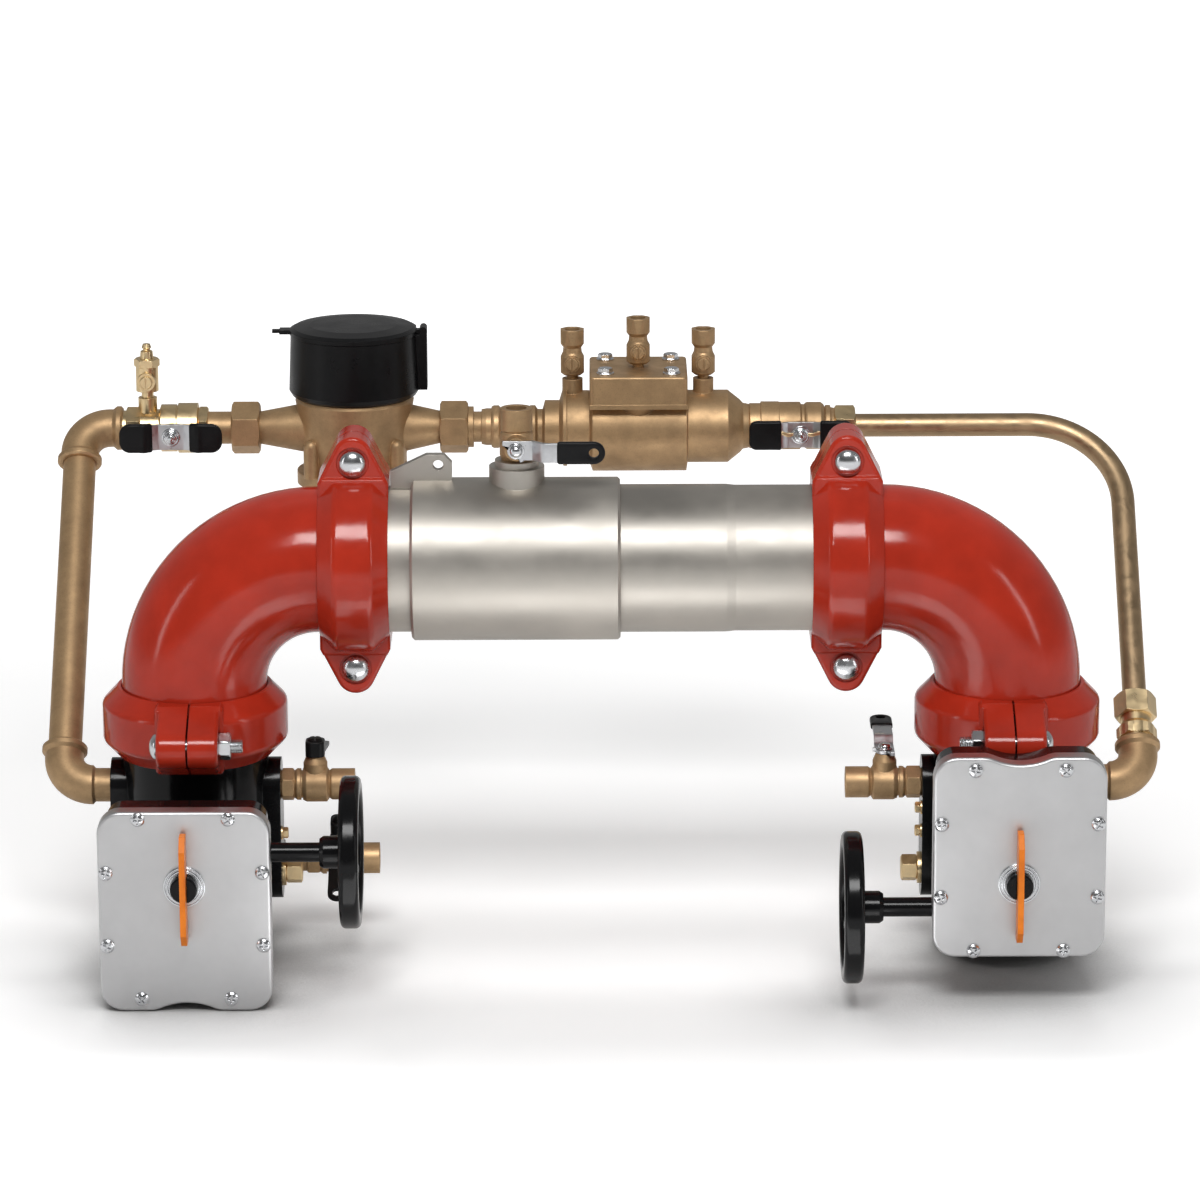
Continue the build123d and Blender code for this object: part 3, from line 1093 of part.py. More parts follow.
def small_cock(hex_length, nipple_length=0.0):
    """Ball cock along Z from a valve port: nipple, hexagon, bulb, outlet spigot and stem boss on +X."""
    thread_r = COCK_PORT_R - THREAD_CLEARANCE
    neck_r = thread_r + 0.7
    stages = [(2, neck_r, COCK_ENTRY_R), (3, COCK_ENTRY_R, COCK_ENTRY_R), (1.5, neck_r, neck_r),
              (3, COCK_ENTRY_R, COCK_BULB_R), (16, COCK_BULB_R, COCK_BULB_R), (2, COCK_BULB_R, neck_r),
              (2, neck_r, COCK_SPIGOT_R), (COCK_OUTLET, COCK_SPIGOT_R, COCK_SPIGOT_R)]
    reach = nipple_length + hex_length
    steps = [(-THREAD_GRIP, thread_r), (nipple_length, thread_r)]
    steps += stepped(nipple_length, [(hex_length, neck_r, neck_r)]) + stepped(reach, stages)
    body = turned(steps) + hex_bar(COCK_HEX_ACROSS, nipple_length + 0.5, reach - 0.5)
    stem_at = reach + COCK_STEM_AT
    boss = turned([(0, 9.5), (SMALL_STEM_FACE - 6, 9.5), (SMALL_STEM_FACE, 7.0)])
    body += Pos(0, 0, stem_at) * TO_X * boss
    end = steps[-1][0]
    body -= drill(COCK_NOZZLE_R, end - COCK_NOZZLE_DEPTH, end + 1)
    return body - Pos(0, 0, stem_at) * TO_X * drill(SMALL_STEM_R + RUN_CLEARANCE, 8, SMALL_STEM_FACE + 1)


def joggle_line(joggle, height):
    """Side view of a joggle, moved square to itself by a height."""
    start, end, rise = joggle
    shift = height * math.tan(math.atan2(rise, end - start) / 2)
    return [(start - shift, height), (end - shift, rise + height)]


def joggled_bar(near, far, joggle, low, high, width):
    """Bar along X in the XY plane between two heights, raised by a joggle."""
    rise = joggle[2]
    lower = [(near, low)] + joggle_line(joggle, low) + [(far, low + rise)]
    upper = [(near, high)] + joggle_line(joggle, high) + [(far, high + rise)]
    side = Polyline(*lower, *reversed(upper), close=True)
    return extrude(Plane.XZ * make_face(side), width / 2, both=True)


def round_ended(near, far, width, height):
    """Block along X on Z = 0 with a round end beyond far."""
    outline = Pos((near + far) / 2, 0) * Rectangle(far - near, width) + Pos(far, 0) * Circle(width / 2)
    return extrude(outline, height)


def flat_lever(reach, joggle, grip_start):
    """Lever with its stem and nut, drilled near its end, and the grip that is pushed over it."""
    base = SMALL_STEM_FACE + SEAT_CLEARANCE
    hole_at = reach - LEVER_WIDTH / 2
    hole = Pos(hole_at, 0, 0) * drill(LEVER_HOLE_R, -base, base)
    width = LEVER_WIDTH + 2 * GRIP_WALL
    far = reach - width / 2
    strap = joggled_bar(-LEVER_WIDTH / 2, reach, joggle, 0, LEVER_THICKNESS, LEVER_WIDTH)
    strap = strap & (round_ended(0, far, LEVER_WIDTH, base) + drill(LEVER_WIDTH / 2, 0, base))
    strap = strap - hole
    stem = drill(SMALL_STEM_R, SMALL_STEM_FOOT - base, 0.5)
    nut = turned([(LEVER_THICKNESS - 0.1, LEVER_NUT_R), (LEVER_THICKNESS + 3, LEVER_NUT_R),
                  (LEVER_THICKNESS + 4.5, LEVER_NUT_R - 1.6), (LEVER_THICKNESS + 5.5, LEVER_NUT_R / 3)])
    grip = round_ended(grip_start, far, width, LEVER_THICKNESS + 2 * GRIP_WALL)
    grip = fillet(grip.faces().sort_by(Axis.Z)[-1].edges(), GRIP_EDGE_R)
    grip = fillet(grip.faces().sort_by(Axis.Z)[0].edges(), GRIP_EDGE_R)
    grip = Pos(0, 0, joggle[2] - GRIP_WALL) * grip - strap - hole
    return [Pos(0, 0, base) * piece for piece in (strap + stem + nut, grip)]


def hooked_lever():
    """Small lever along X: deep head on its stem, slotted dome screw and a drilled arm that slopes down."""
    base = SMALL_STEM_FACE + SEAT_CLEARANCE
    head = extrude(RectangleRounded(2 * HOOKED_HEAD_HALF, LEVER_WIDTH, 5), HOOKED_HEAD_DEPTH)
    head = fillet(head.faces().sort_by(Axis.Z)[-1].edges(), 1.2)
    far = HOOKED_REACH - HOOKED_HEAD_HALF - LEVER_WIDTH / 2
    arm = round_ended(-2, far, LEVER_WIDTH, LEVER_THICKNESS) - Pos(far, 0, 0) * drill(LEVER_HOLE_R, -1, 9)
    arm = Pos(HOOKED_HEAD_HALF, 0, 0) * Rot(0, HOOKED_SLOPE, 0) * arm
    arm -= block((-HOOKED_REACH, -LEVER_WIDTH, -9), (HOOKED_HEAD_HALF, LEVER_WIDTH, 0))
    top = HOOKED_HEAD_DEPTH
    screw = turned([(top - 0.5, 6.2), (top + 0.8, 6.2), (top + 2.0, 4.6), (top + 2.5, 2.2)])
    screw -= block((-7, -0.7, top + 1.2), (7, 0.7, top + 3))
    stem = drill(SMALL_STEM_R, SMALL_STEM_FOOT - base, 0.5)
    return Pos(0, 0, base) * (head + arm + screw + stem)


def main_test_cock():
    """Bronze test cock on the sleeve's boss: bulb, stem boss to the front and open collar."""
    low = TEST_BOSS_TOP
    steps = [(low, 12.0), (low + 4, 13.2), (low + 13, 13.2), (low + 15, 11.6), (low + 16, 12.7),
             (low + 21, 12.7), (low + 23, 11.4), (low + 24, 12.6), (MAIN_COCK_TOP, 12.4)]
    body = turned(steps) - drill(8.2, MAIN_COCK_TOP - 15, MAIN_COCK_TOP + 1)
    body += Pos(0, 0, MAIN_COCK_STEM_Z) * TO_MINUS_Y * drill(9.0, 0, SMALL_STEM_FACE)
    hole = drill(SMALL_STEM_R + RUN_CLEARANCE, 8, SMALL_STEM_FACE + 1)
    return body - Pos(0, 0, MAIN_COCK_STEM_Z) * TO_MINUS_Y * hole


def port_plug():
    """Square shouldered hexagon plug along Z in a valve port."""
    thread = drill(COCK_PORT_R - THREAD_CLEARANCE, -THREAD_GRIP, 0)
    return thread + turned([(0, 12.6), (2.5, 12.6)]) + hex_bar(19.0, 2.5, PLUG_LENGTH, 1.2)


def port_screw():
    """Small brass hexagon screw along Z on a port plate."""
    return drill(PORT_SCREW_R, -6, 0) + turned([(0, 5.4), (1.2, 5.4)]) + hex_bar(8.0, 1.2, 5.6, 0.7)


def export(name, shape):
    """Write one node's STEP file."""
    solids = shape if isinstance(shape, list) else [shape]
    loose = []
    for item in solids:
        loose += item.solids()
    export_step(Compound(children=loose) if len(loose) > 1 else loose[0], f"parts/{name}.step")


def main_line_nodes():
    """Housing, sleeve, elbows, couplings and what is inside them."""
    body_places, valve_places = coupling_places()
    half = coupling_half()
    ring = gasket()
    bolt, nut = coupling_bolt()
    places = body_places + valve_places
    nodes = {"couplings": [place * Rot(0, 0, turn) * half for place in places for turn in (0, 180)]}
    nodes["coupling_gaskets"] = [place * ring for place in places]
    pitches = [Pos(0, side * BOLT_PITCH / 2, 0) for side in (-1, 1)]
    nodes["coupling_bolts"] = [place * pitch * piece for place in places for pitch in pitches
                               for piece in (bolt, nut)]
    elbow = grooved_elbow()
    nodes["inlet_elbow"] = Pos(0, 0, MAIN_Z) * elbow
    nodes["outlet_elbow"] = Pos(LEG_SPACING, 0, MAIN_Z) * Rot(0, 0, 180) * elbow
    nodes["check_housing"] = check_housing()
    nodes["access_sleeve"] = access_sleeve()
    nodes["check_seats"] = [MIDDLE * check_seat(x) for x in CHECK_X]
    nodes["inlet_clapper"] = MIDDLE * clapper(CHECK_X[0])
    nodes["outlet_clapper"] = MIDDLE * clapper(CHECK_X[1])
    return nodes


def valve_nodes():
    """Both butterfly valves with their gear operators."""
    shared = {"gearbox": at_operator(gearbox()), "gear_cover": at_operator(gear_cover()), "disc": disc(),
              "stem": [stem(), worm_wheel()], "flag": flag(), "worm_shaft": at_operator(worm_shaft()),
              "handwheel": at_operator(handwheel())}
    nodes = {}
    for end, place in VALVES.items():
        for name, shape in shared.items():
            parts = shape if isinstance(shape, list) else [shape]
            nodes[f"{end}_{name}"] = [place * item for item in parts]
    ports = [(-1, 1, RISER_PORT_R), (1, 1, COCK_PORT_R), (1, -1, COCK_PORT_R)]
    screws = [(1, height) for height in PORT_SCREWS["inlet"]]
    nodes["inlet_valve_body"] = INLET * valve_body(ports, screws, side_port=True)
    ports = [(side, -level, radius) for side, level, radius in ports]
    screws = [(1, -height) for height in PORT_SCREWS["outlet"]]
    nodes["outlet_valve_body"] = OUTLET * valve_body(ports, screws)
    seat = valve_seat()
    nodes["valve_seats"] = [place * seat for place in VALVES.values()]
    screws = [at_operator(screw) for screw in gear_screws()]
    nodes["gear_cover_screws"] = [place * screw for place in VALVES.values() for screw in screws]
    return nodes


def cross_section_place(name, offset=0.0):
    """Place on the bypass axis with the row's own directions."""
    return Pos(LINE[name] + offset, BYPASS_Y, BYPASS_Z)


def bypass_nodes():
    """The bypass line in order from the inlet port to the outlet port."""
    stem_a = cross_section_place("valve_a", BALL_STEM_AT)
    stem_b = cross_section_place("valve_b", BALL_STEM_AT)
    nodes = {"inlet_street_elbow": slope_place(-1, 0) * street_elbow(),
             "outlet_street_elbow": slope_place(1, 0) * street_elbow(),
             "riser_pipe": slope_place(-1, 0) * riser_pipe(),
             "riser_top_elbow": slope_place(-1, BYPASS_SLOPE) * top_elbow(),
             "inlet_bypass_valve": on_line("valve_a") * bleed_valve(),
             "outlet_bypass_valve": on_line("valve_b") * round_valve(),
             "inlet_bypass_handle": [stem_a * piece for piece in tee_handle(INLET_TEE_JOGGLE)],
             "outlet_bypass_handle": [stem_b * piece for piece in tee_handle(OUTLET_TEE_JOGGLE)]}
    bleed = cross_section_place("valve_a", BLEED_AT)
    nodes["bleed_cock"] = bleed * bleed_cock()
    nodes["bleed_screw"] = bleed * Pos(0, 0, BLEED_SCREW_Z) * cock_screw(BLEED_FACE)
    nodes["bypass_fittings"] = [on_line("nipple") * nipple(TAIL_NIPPLE + THREAD_GRIP),
                                on_line("tailpiece") * tailpiece(), on_line("coupling") * line_coupling()]
    nodes["meter_union_nuts"] = [on_line(name) * union_nut() for name in ("union_in", "union_out")]
    meter = cross_section_place("meter", METER_LEFT)
    nodes["meter_body"] = meter * meter_body()
    nodes["meter_register"] = meter * meter_register()
    nodes["register_box"] = meter * register_box()
    nodes["register_lid"] = meter * register_lid()
    check = cross_section_place("check")
    nodes["bypass_check_body"] = check * bypass_check_body()
    nodes["bypass_check_cover"] = check * bypass_check_cover()
    nodes["check_cover_bolts"] = [check * Pos(x, y, CHECK_COVER_TOP) * cover_bolt()
                                  for x, y in check_bolt_places()]
    first, second = CHECK_SIDE_COCKS
    cocks = ((first, CHECK_BOSS_TOP), (CHECK_COVER_X, CHECK_COVER_TOP), (second, CHECK_BOSS_TOP))
    nodes["test_cocks"] = [check * Pos(x, 0, z) * test_cock() for x, z in cocks]
    for number, (x, z) in enumerate(cocks, 1):
        nodes[f"test_cock_screw_{number}"] = check * Pos(x, 0, z + COCK_SCREW_Z) * cock_screw(COCK_FACE)
    nodes["tube_fittings"] = [on_line("tube_nut") * compression_nut(TUBE_NUT_LENGTH),
                              slope_place(1, TUBE_NUT_START) * compression_nut(TUBE_NUT_DROP),
                              slope_place(1, 0) * tube_adapter()]
    nodes["bypass_tube"] = bypass_tube()
    return nodes


def port_place(end, height, side, y=0.0, tilt=0.0):
    """Place on a port plate: Z out of the port, X along the cock's stem."""
    x = LEG_SPACING if end == "outlet" else 0.0
    outward = Rot(0, 90 * side, 0)
    turn = Rot(0, 0, 180 if side > 0 else 0)
    return Pos(x + side * PORT_FACE_X, y, height) * Rot(tilt, 0, 0) * outward * turn


def cock_nodes():
    """Test cocks, plugs and screws on the valves, and the cock on the sleeve."""
    upper = port_place("inlet", PORT_UPPER_Z, 1)
    lower = port_place("inlet", PORT_LOWER_Z, 1, SIDE_PORT_Y, LOWER_COCK_TILT)
    outer = port_place("outlet", PORT_UPPER_Z, -1)
    nodes = {"valve_cocks": [upper * small_cock(INLET_COCK_HEX),
                             lower * small_cock(INLET_COCK_HEX, SIDE_NIPPLE),
                             outer * small_cock(OUTLET_COCK_HEX)]}
    stem_in = Pos(0, 0, INLET_COCK_HEX + COCK_STEM_AT)
    stem_side = Pos(0, 0, SIDE_NIPPLE) * stem_in
    stem_out = Pos(0, 0, OUTLET_COCK_HEX + COCK_STEM_AT)
    hooked = hooked_lever()
    gripped = flat_lever(OUTLET_LEVER_REACH, OUTLET_JOGGLE, OUTLET_GRIP_START)
    nodes["inlet_upper_lever"] = upper * stem_in * TO_X * Rot(0, 0, -90) * hooked
    nodes["inlet_lower_lever"] = lower * stem_side * TO_X * Rot(0, 0, 90) * hooked
    nodes["outlet_lever"] = [outer * stem_out * TO_X * Rot(0, 0, 90) * piece for piece in gripped]
    plugs = [port_place("inlet", PORT_LOWER_Z, 1) * port_plug(),
             port_place("outlet", PORT_LOWER_Z, -1) * port_plug()]
    for end, side in (("inlet", 1), ("outlet", -1)):
        for height in PORT_SCREWS[end]:
            plugs.append(port_place(end, STEM_Z + height, side, PORT_SCREW_Y) * port_screw())
    nodes["port_plugs"] = plugs
    sleeve_cock = MIDDLE * Pos(TEST_PORT_X, 0, 0)
    nodes["main_test_cock"] = sleeve_cock * main_test_cock()
    lever = flat_lever(MAIN_LEVER_REACH, MAIN_JOGGLE, MAIN_GRIP_START)
    stem_front = sleeve_cock * Pos(0, 0, MAIN_COCK_STEM_Z) * TO_MINUS_Y
    nodes["main_cock_lever"] = [stem_front * piece for piece in lever]
    return nodes


def main():
    os.makedirs("parts", exist_ok=True)
    nodes = {}
    nodes.update(main_line_nodes())
    nodes.update(valve_nodes())
    nodes.update(bypass_nodes())
    nodes.update(cock_nodes())
    for name, shape in nodes.items():
        export(name, shape)


main()
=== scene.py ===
"""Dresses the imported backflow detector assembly: castings, pipework, bolts, levers and the stage."""

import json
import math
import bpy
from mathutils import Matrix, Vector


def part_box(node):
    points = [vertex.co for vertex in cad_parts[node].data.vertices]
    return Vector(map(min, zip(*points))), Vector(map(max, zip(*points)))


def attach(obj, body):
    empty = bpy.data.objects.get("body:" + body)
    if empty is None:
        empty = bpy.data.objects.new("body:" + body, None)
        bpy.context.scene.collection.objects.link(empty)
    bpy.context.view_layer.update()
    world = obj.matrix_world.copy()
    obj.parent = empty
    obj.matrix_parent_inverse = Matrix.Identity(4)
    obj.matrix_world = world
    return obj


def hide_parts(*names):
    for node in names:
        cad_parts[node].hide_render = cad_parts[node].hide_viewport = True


bl_info = {
    "name": "Backflow Detector Assembly",
    "version": (1, 0, 0),
    "blender": (4, 5, 0),
    "location": "View3D > Sidebar > Backflow",
    "description": "Finishes and fittings of a grooved backflow detector assembly with a metered bypass",
    "category": "Object",
}

import bpy
import numpy as np
from mathutils import Matrix, Vector

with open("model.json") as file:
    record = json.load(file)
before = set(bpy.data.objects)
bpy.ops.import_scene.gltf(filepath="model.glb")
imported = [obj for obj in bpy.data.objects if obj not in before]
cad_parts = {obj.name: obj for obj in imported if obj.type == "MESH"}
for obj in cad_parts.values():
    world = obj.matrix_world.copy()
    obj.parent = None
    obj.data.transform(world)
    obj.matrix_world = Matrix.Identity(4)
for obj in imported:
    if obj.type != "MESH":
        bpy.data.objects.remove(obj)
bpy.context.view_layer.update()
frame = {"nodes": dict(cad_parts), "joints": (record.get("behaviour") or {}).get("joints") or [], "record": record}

MM = 0.001
FINISHES = {}
ALONG_X, ALONG_Z = 0, 2

# Millimetres: from a pipe's or valve's axis to its fitting, the boss on a cover, and the counter's
# place above the dial's middle.
BOLT_REACH = 82.5
LEVER_STANDOFF = 24.3
TEE_STANDOFF = 31.3
COVER_BOSS_HEIGHT = 2.0
COUNTER_RISE = 11.5

# Metres: the points that the camera and the lamps look at.
CAMERA_TARGET = Vector((0.3195, 0.0, 0.275))
LAMP_TARGET = (0.32, 0.05, 0.25)
CAMERA_ROLL = math.radians(-0.22)
SENSOR_WIDTH = 36.0
PAPER_WHITE = (0.90, 0.90, 0.90)


def colour(name, rgb, text):
    """A colour that the user may change."""
    return bpy.props.FloatVectorProperty(name=name, description=text, default=rgb, size=3, min=0.0,
                                         max=1.0, subtype="COLOR")


def length(name, mm, text):
    """A length in the scene's unit, given in millimetres."""
    return bpy.props.FloatProperty(name=name, description=text, default=mm * MM, unit="LENGTH",
                                   precision=5)


def power(name, watts, text):
    """A lamp's power."""
    return bpy.props.FloatProperty(name=name, description=text, default=watts, min=0.0, unit="POWER")


class FinishColours(bpy.types.PropertyGroup):
    """Paint and metal colours of the assembly."""

    red_enamel: colour("Red enamel", (0.45, 0.030, 0.013), "Elbows and couplings")
    black_enamel: colour("Black enamel", (0.0055, 0.0055, 0.006), "Valves, gear housings and handwheels")
    stainless: colour("Stainless tube", (0.51, 0.48, 0.435), "Check housing and sleeve")
    cast_bronze: colour("Cast bronze", (0.50, 0.33, 0.175), "Meter, check body, elbows and cocks")
    bright_brass: colour("Bright brass", (0.86, 0.66, 0.38), "Machined brass fittings")
    orange: colour("Orange coating", (0.87, 0.205, 0.021), "Position flags")
    cover: colour("Cover plate", (0.62, 0.62, 0.625), "Gear covers")
    grip: colour("Black vinyl", (0.007, 0.007, 0.0075), "Dipped grips")
    plastic: colour("Black plastic", (0.006, 0.006, 0.0065), "Register box and lid")
    copper_tube: colour("Bypass tube", (0.52, 0.37, 0.22), "Bent bypass tube")


class FittingSizes(bpy.types.PropertyGroup):
    """Sizes of the bolts and grips."""

    bolt_head: length("Bolt head radius", 10.5, "Round head of a coupling bolt")
    nut_across: length("Nut across flats", 19.0, "Hexagon nut of a coupling bolt")
    thread_pitch: length("Thread pitch", 1.75, "Distance between the coupling bolts' threads")
    grip_wall: length("Grip wall", 1.2, "Vinyl round the straps of the levers")


class StageSizes(bpy.types.PropertyGroup):
    """Camera and lamps."""

    distance: length("Camera distance", 4315.0, "From the lens to the middle of the assembly")
    pitch: bpy.props.FloatProperty(name="Camera pitch", description="Down from level", subtype="ANGLE",
                                   default=math.radians(15))
    lens: bpy.props.FloatProperty(name="Focal length", description="In millimetres on a 36 mm sensor",
                                  default=165.0, unit="CAMERA")
    floor_z: length("Floor height", -11.5, "Pale floor under the assembly")
    key_power: power("Key lamp", 110.0, "Large soft lamp over the camera")
    left_power: power("Left lamp", 6.0, "Slim lamp on the inlet side")
    right_power: power("Right lamp", 8.0, "Slim lamp on the outlet side")
    rear_power: power("Rear lamp", 40.0, "Strip behind and over the assembly")
    card_power: power("Low card", 0.75, "Card on the floor that shows in polished undersides")


def maths_node(tree, operation, first, second=0.0):
    """Value of one operation on two numbers or sockets."""
    made = tree.nodes.new("ShaderNodeMath")
    made.operation = operation
    for socket, value in zip(made.inputs, (first, second)):
        if hasattr(value, "is_linked"):
            tree.links.new(value, socket)
        else:
            socket.default_value = value
    return made.outputs["Value"]


class Finish:
    """One Principled material on Object coordinates, with short calls that add its nodes."""

    def __init__(self, name, rgb, rough, metal=0.0, **sockets):
        self.material = bpy.data.materials.new(name)
        self.material.use_nodes = True
        self.tree = self.material.node_tree
        self.shader = self.tree.nodes["Principled BSDF"]
        self.shader.inputs["Base Color"].default_value = (*rgb, 1.0)
        self.shader.inputs["Roughness"].default_value = rough
        self.shader.inputs["Metallic"].default_value = metal
        for socket, value in sockets.items():
            self.shader.inputs[socket.replace("_", " ").title().replace("Ior", "IOR")].default_value = value
        self.place = self.node("ShaderNodeTexCoord").outputs["Object"]
        self.normal = None
        self.material.diffuse_color = (*rgb, 1.0)

    def node(self, kind, **settings):
        """New node of a kind with its settings."""
        made = self.tree.nodes.new(kind)
        for key, value in settings.items():
            setattr(made, key, value)
        return made

    def feed(self, socket, value):
        """Links a socket's value, or sets a constant."""
        if hasattr(value, "is_linked"):
            self.tree.links.new(value, socket)
        else:
            socket.default_value = value

    def stretched(self, scale):
        """Object coordinates scaled by a factor along each axis."""
        mapping = self.node("ShaderNodeMapping")
        self.feed(mapping.inputs["Vector"], self.place)
        mapping.inputs["Scale"].default_value = scale
        return mapping.outputs["Vector"]

    def noise(self, per_metre, detail=3.0, rough=0.5, place=None, warp=0.0):
        """Noise value with so many features to the metre."""
        made = self.node("ShaderNodeTexNoise")
        self.feed(made.inputs["Vector"], place or self.place)
        made.inputs["Scale"].default_value = per_metre
        made.inputs["Detail"].default_value = detail
        made.inputs["Roughness"].default_value = rough
        made.inputs["Distortion"].default_value = warp
        return made.outputs["Fac"]

    def ranged(self, value, low, high, start=0.3, end=0.7):
        """The value from start to end mapped to low to high."""
        made = self.node("ShaderNodeMapRange")
        self.feed(made.inputs["Value"], value)
        for socket, number in (("From Min", start), ("From Max", end), ("To Min", low), ("To Max", high)):
            made.inputs[socket].default_value = number
        return made.outputs["Result"]

    def mixed(self, factor, first, second):
        """Colour between two colours."""
        made = self.node("ShaderNodeMix", data_type="RGBA")
        self.feed(made.inputs["Factor"], factor)
        for socket, rgb in ((made.inputs[6], first), (made.inputs[7], second)):
            self.feed(socket, rgb if hasattr(rgb, "is_linked") else (*rgb, 1.0))
        return made.outputs[2]

    def maths(self, operation, first, second=0.0):
        """One operation on two values."""
        return maths_node(self.tree, operation, first, second)

    def round_edges(self, radius_mm):
        """Edges shaded as if rounded to this radius."""
        made = self.node("ShaderNodeBevel", samples=6)
        made.inputs["Radius"].default_value = radius_mm * MM
        self.normal = made.outputs["Normal"]

    def edge_wear_and_highlight(self, low=0.02, high=0.30):
        """Near 1 on outer edges and 0 on faces: how far the rounded normal leans from the face's. Finishes lighten
        edges with it, as rubbed wear on bare metal and as a painted highlight on enamel and on the covers.
        """
        face = self.node("ShaderNodeNewGeometry").outputs["Normal"]
        made = self.node("ShaderNodeVectorMath", operation="DOT_PRODUCT")
        self.feed(made.inputs[0], face)
        self.feed(made.inputs[1], self.normal)
        return self.ranged(self.maths("SUBTRACT", 1.0, made.outputs["Value"]), 0.0, 1.0, low, high)

    def relief(self, height, depth_mm, strength=1.0):
        """Bump of a depth in millimetres, over what stands already."""
        made = self.node("ShaderNodeBump")
        made.inputs["Strength"].default_value = strength
        made.inputs["Distance"].default_value = depth_mm * MM
        self.feed(made.inputs["Height"], height)
        if self.normal is not None:
            self.feed(made.inputs["Normal"], self.normal)
        self.normal = made.outputs["Normal"]

    def done(self, **sockets):
        """Feeds the shader's sockets and the normal, and gives the finished material."""
        for socket, value in sockets.items():
            self.feed(self.shader.inputs[socket.replace("_", " ").title()], value)
        if self.normal is not None:
            self.feed(self.shader.inputs["Normal"], self.normal)
            self.feed(self.shader.inputs["Coat Normal"], self.normal)
        return self.material


def shade(rgb, factor):
    """A colour made lighter or darker."""
    return tuple(min(1.0, value * factor) for value in rgb)


def enamel(name, rgb, rough, grain_mm, edge_mm, gloss):
    """Glossy enamel over a casting: slow swells, fine orange peel, and a painted highlight that lightens the
    edges.
    """
    made = Finish(name, rgb, rough, 0.0, specular_ior_level=gloss)
    made.round_edges(edge_mm)
    edge = made.edge_wear_and_highlight()
    made.relief(made.noise(38, 2.0), 0.9, 0.30)
    made.relief(made.noise(330, 3.0), grain_mm, 0.55)
    cloud = made.noise(24, 4.0, 0.6)
    body = made.mixed(made.ranged(cloud, 0.0, 1.0), shade(rgb, 0.86), shade(rgb, 1.10))
    # Painted highlight: the colour is lighter along the edges.
    base = made.mixed(made.maths("MULTIPLY", edge, 0.3), body, shade(rgb, 1.35))
    return made.done(base_color=base, roughness=made.ranged(made.noise(90, 3.0), rough * 0.85, rough * 1.2))


def sand_cast(name, rgb, rough, grain_mm):
    """Bronze as cast: sand grain, blotchy tone with dark specks, and brighter where edges rub."""
    made = Finish(name, rgb, rough, 0.72)
    made.round_edges(0.9)
    edge = made.edge_wear_and_highlight()
    made.relief(made.noise(620, 4.0, 0.62), grain_mm, 0.8)
    made.relief(made.noise(70, 2.0), 0.5, 0.25)
    cloud = made.noise(34, 5.0, 0.65)
    speck = made.noise(900, 2.0, 0.5)
    body = made.mixed(made.ranged(cloud, 0.0, 1.0, 0.32, 0.68), shade(rgb, 0.78), shade(rgb, 1.14))
    body = made.mixed(made.ranged(speck, 0.0, 0.35, 0.55, 0.75), body, shade(rgb, 0.55))
    base = made.mixed(made.maths("MULTIPLY", edge, 0.7), body, shade(rgb, 1.55))
    return made.done(base_color=base, roughness=made.ranged(cloud, rough * 1.12, rough * 0.86))


def machined(name, rgb, rough, edge_mm=0.35, swirl=0.6):
    """Turned or plated metal: faint tool marks and handling marks."""
    made = Finish(name, rgb, rough, 1.0)
    made.round_edges(edge_mm)
    edge = made.edge_wear_and_highlight()
    marks = made.noise(1500, 2.0, 0.5, made.stretched((1.0, 1.0, 0.06)))
    made.relief(marks, 0.02, swirl * 0.4)
    smear = made.noise(60, 4.0, 0.6, warp=1.2)
    body = made.mixed(made.ranged(smear, 0.0, 1.0), shade(rgb, 0.88), shade(rgb, 1.06))
    base = made.mixed(made.maths("MULTIPLY", edge, 0.5), body, shade(rgb, 1.2))
    return made.done(base_color=base, roughness=made.ranged(smear, rough * 0.8, rough * 1.35))


def rolled_steel(name, rgb, rough, along):
    """Satin stainless with fine lines round or along the tube and slow bands of tone."""
    made = Finish(name, rgb, rough, 1.0, anisotropic=0.35)
    made.round_edges(0.5)
    lines = made.noise(900, 3.0, 0.6, made.stretched(along))
    made.relief(lines, 0.03, 0.35)
    smear = made.noise(18, 4.0, 0.6)
    base = made.mixed(made.ranged(smear, 0.0, 1.0), shade(rgb, 0.90), shade(rgb, 1.06))
    return made.done(base_color=base, roughness=made.ranged(smear, rough * 0.88, rough * 1.18))


def blasted(name, rgb, rough):
    """Bead blasted cover with a painted highlight that brightens its rim."""
    made = Finish(name, rgb, rough, 1.0)
    made.round_edges(0.7)
    edge = made.edge_wear_and_highlight()
    made.relief(made.noise(2300, 2.0, 0.55), 0.05, 0.5)
    smear = made.noise(26, 3.0, 0.6)
    body = made.mixed(made.ranged(smear, 0.0, 1.0), shade(rgb, 0.95), shade(rgb, 1.04))
    # Painted highlight: the rim's colour is lighter than the face.
    base = made.mixed(edge, body, shade(rgb, 1.3))
    return made.done(base_color=base, roughness=made.ranged(smear, rough * 0.94, rough * 1.08))


def moulded(name, rgb, rough, grain_mm, per_metre=1400):
    """Moulded rubber, vinyl or plastic with a fine skin."""
    made = Finish(name, rgb, rough, 0.0, specular_ior_level=0.16)
    made.round_edges(0.6)
    made.relief(made.noise(per_metre, 3.0, 0.6), grain_mm, 0.7)
    smear = made.noise(45, 4.0, 0.6)
    base = made.mixed(made.ranged(smear, 0.0, 1.0), shade(rgb, 0.8), shade(rgb, 1.35))
    return made.done(base_color=base, roughness=made.ranged(smear, rough * 0.85, rough * 1.2))


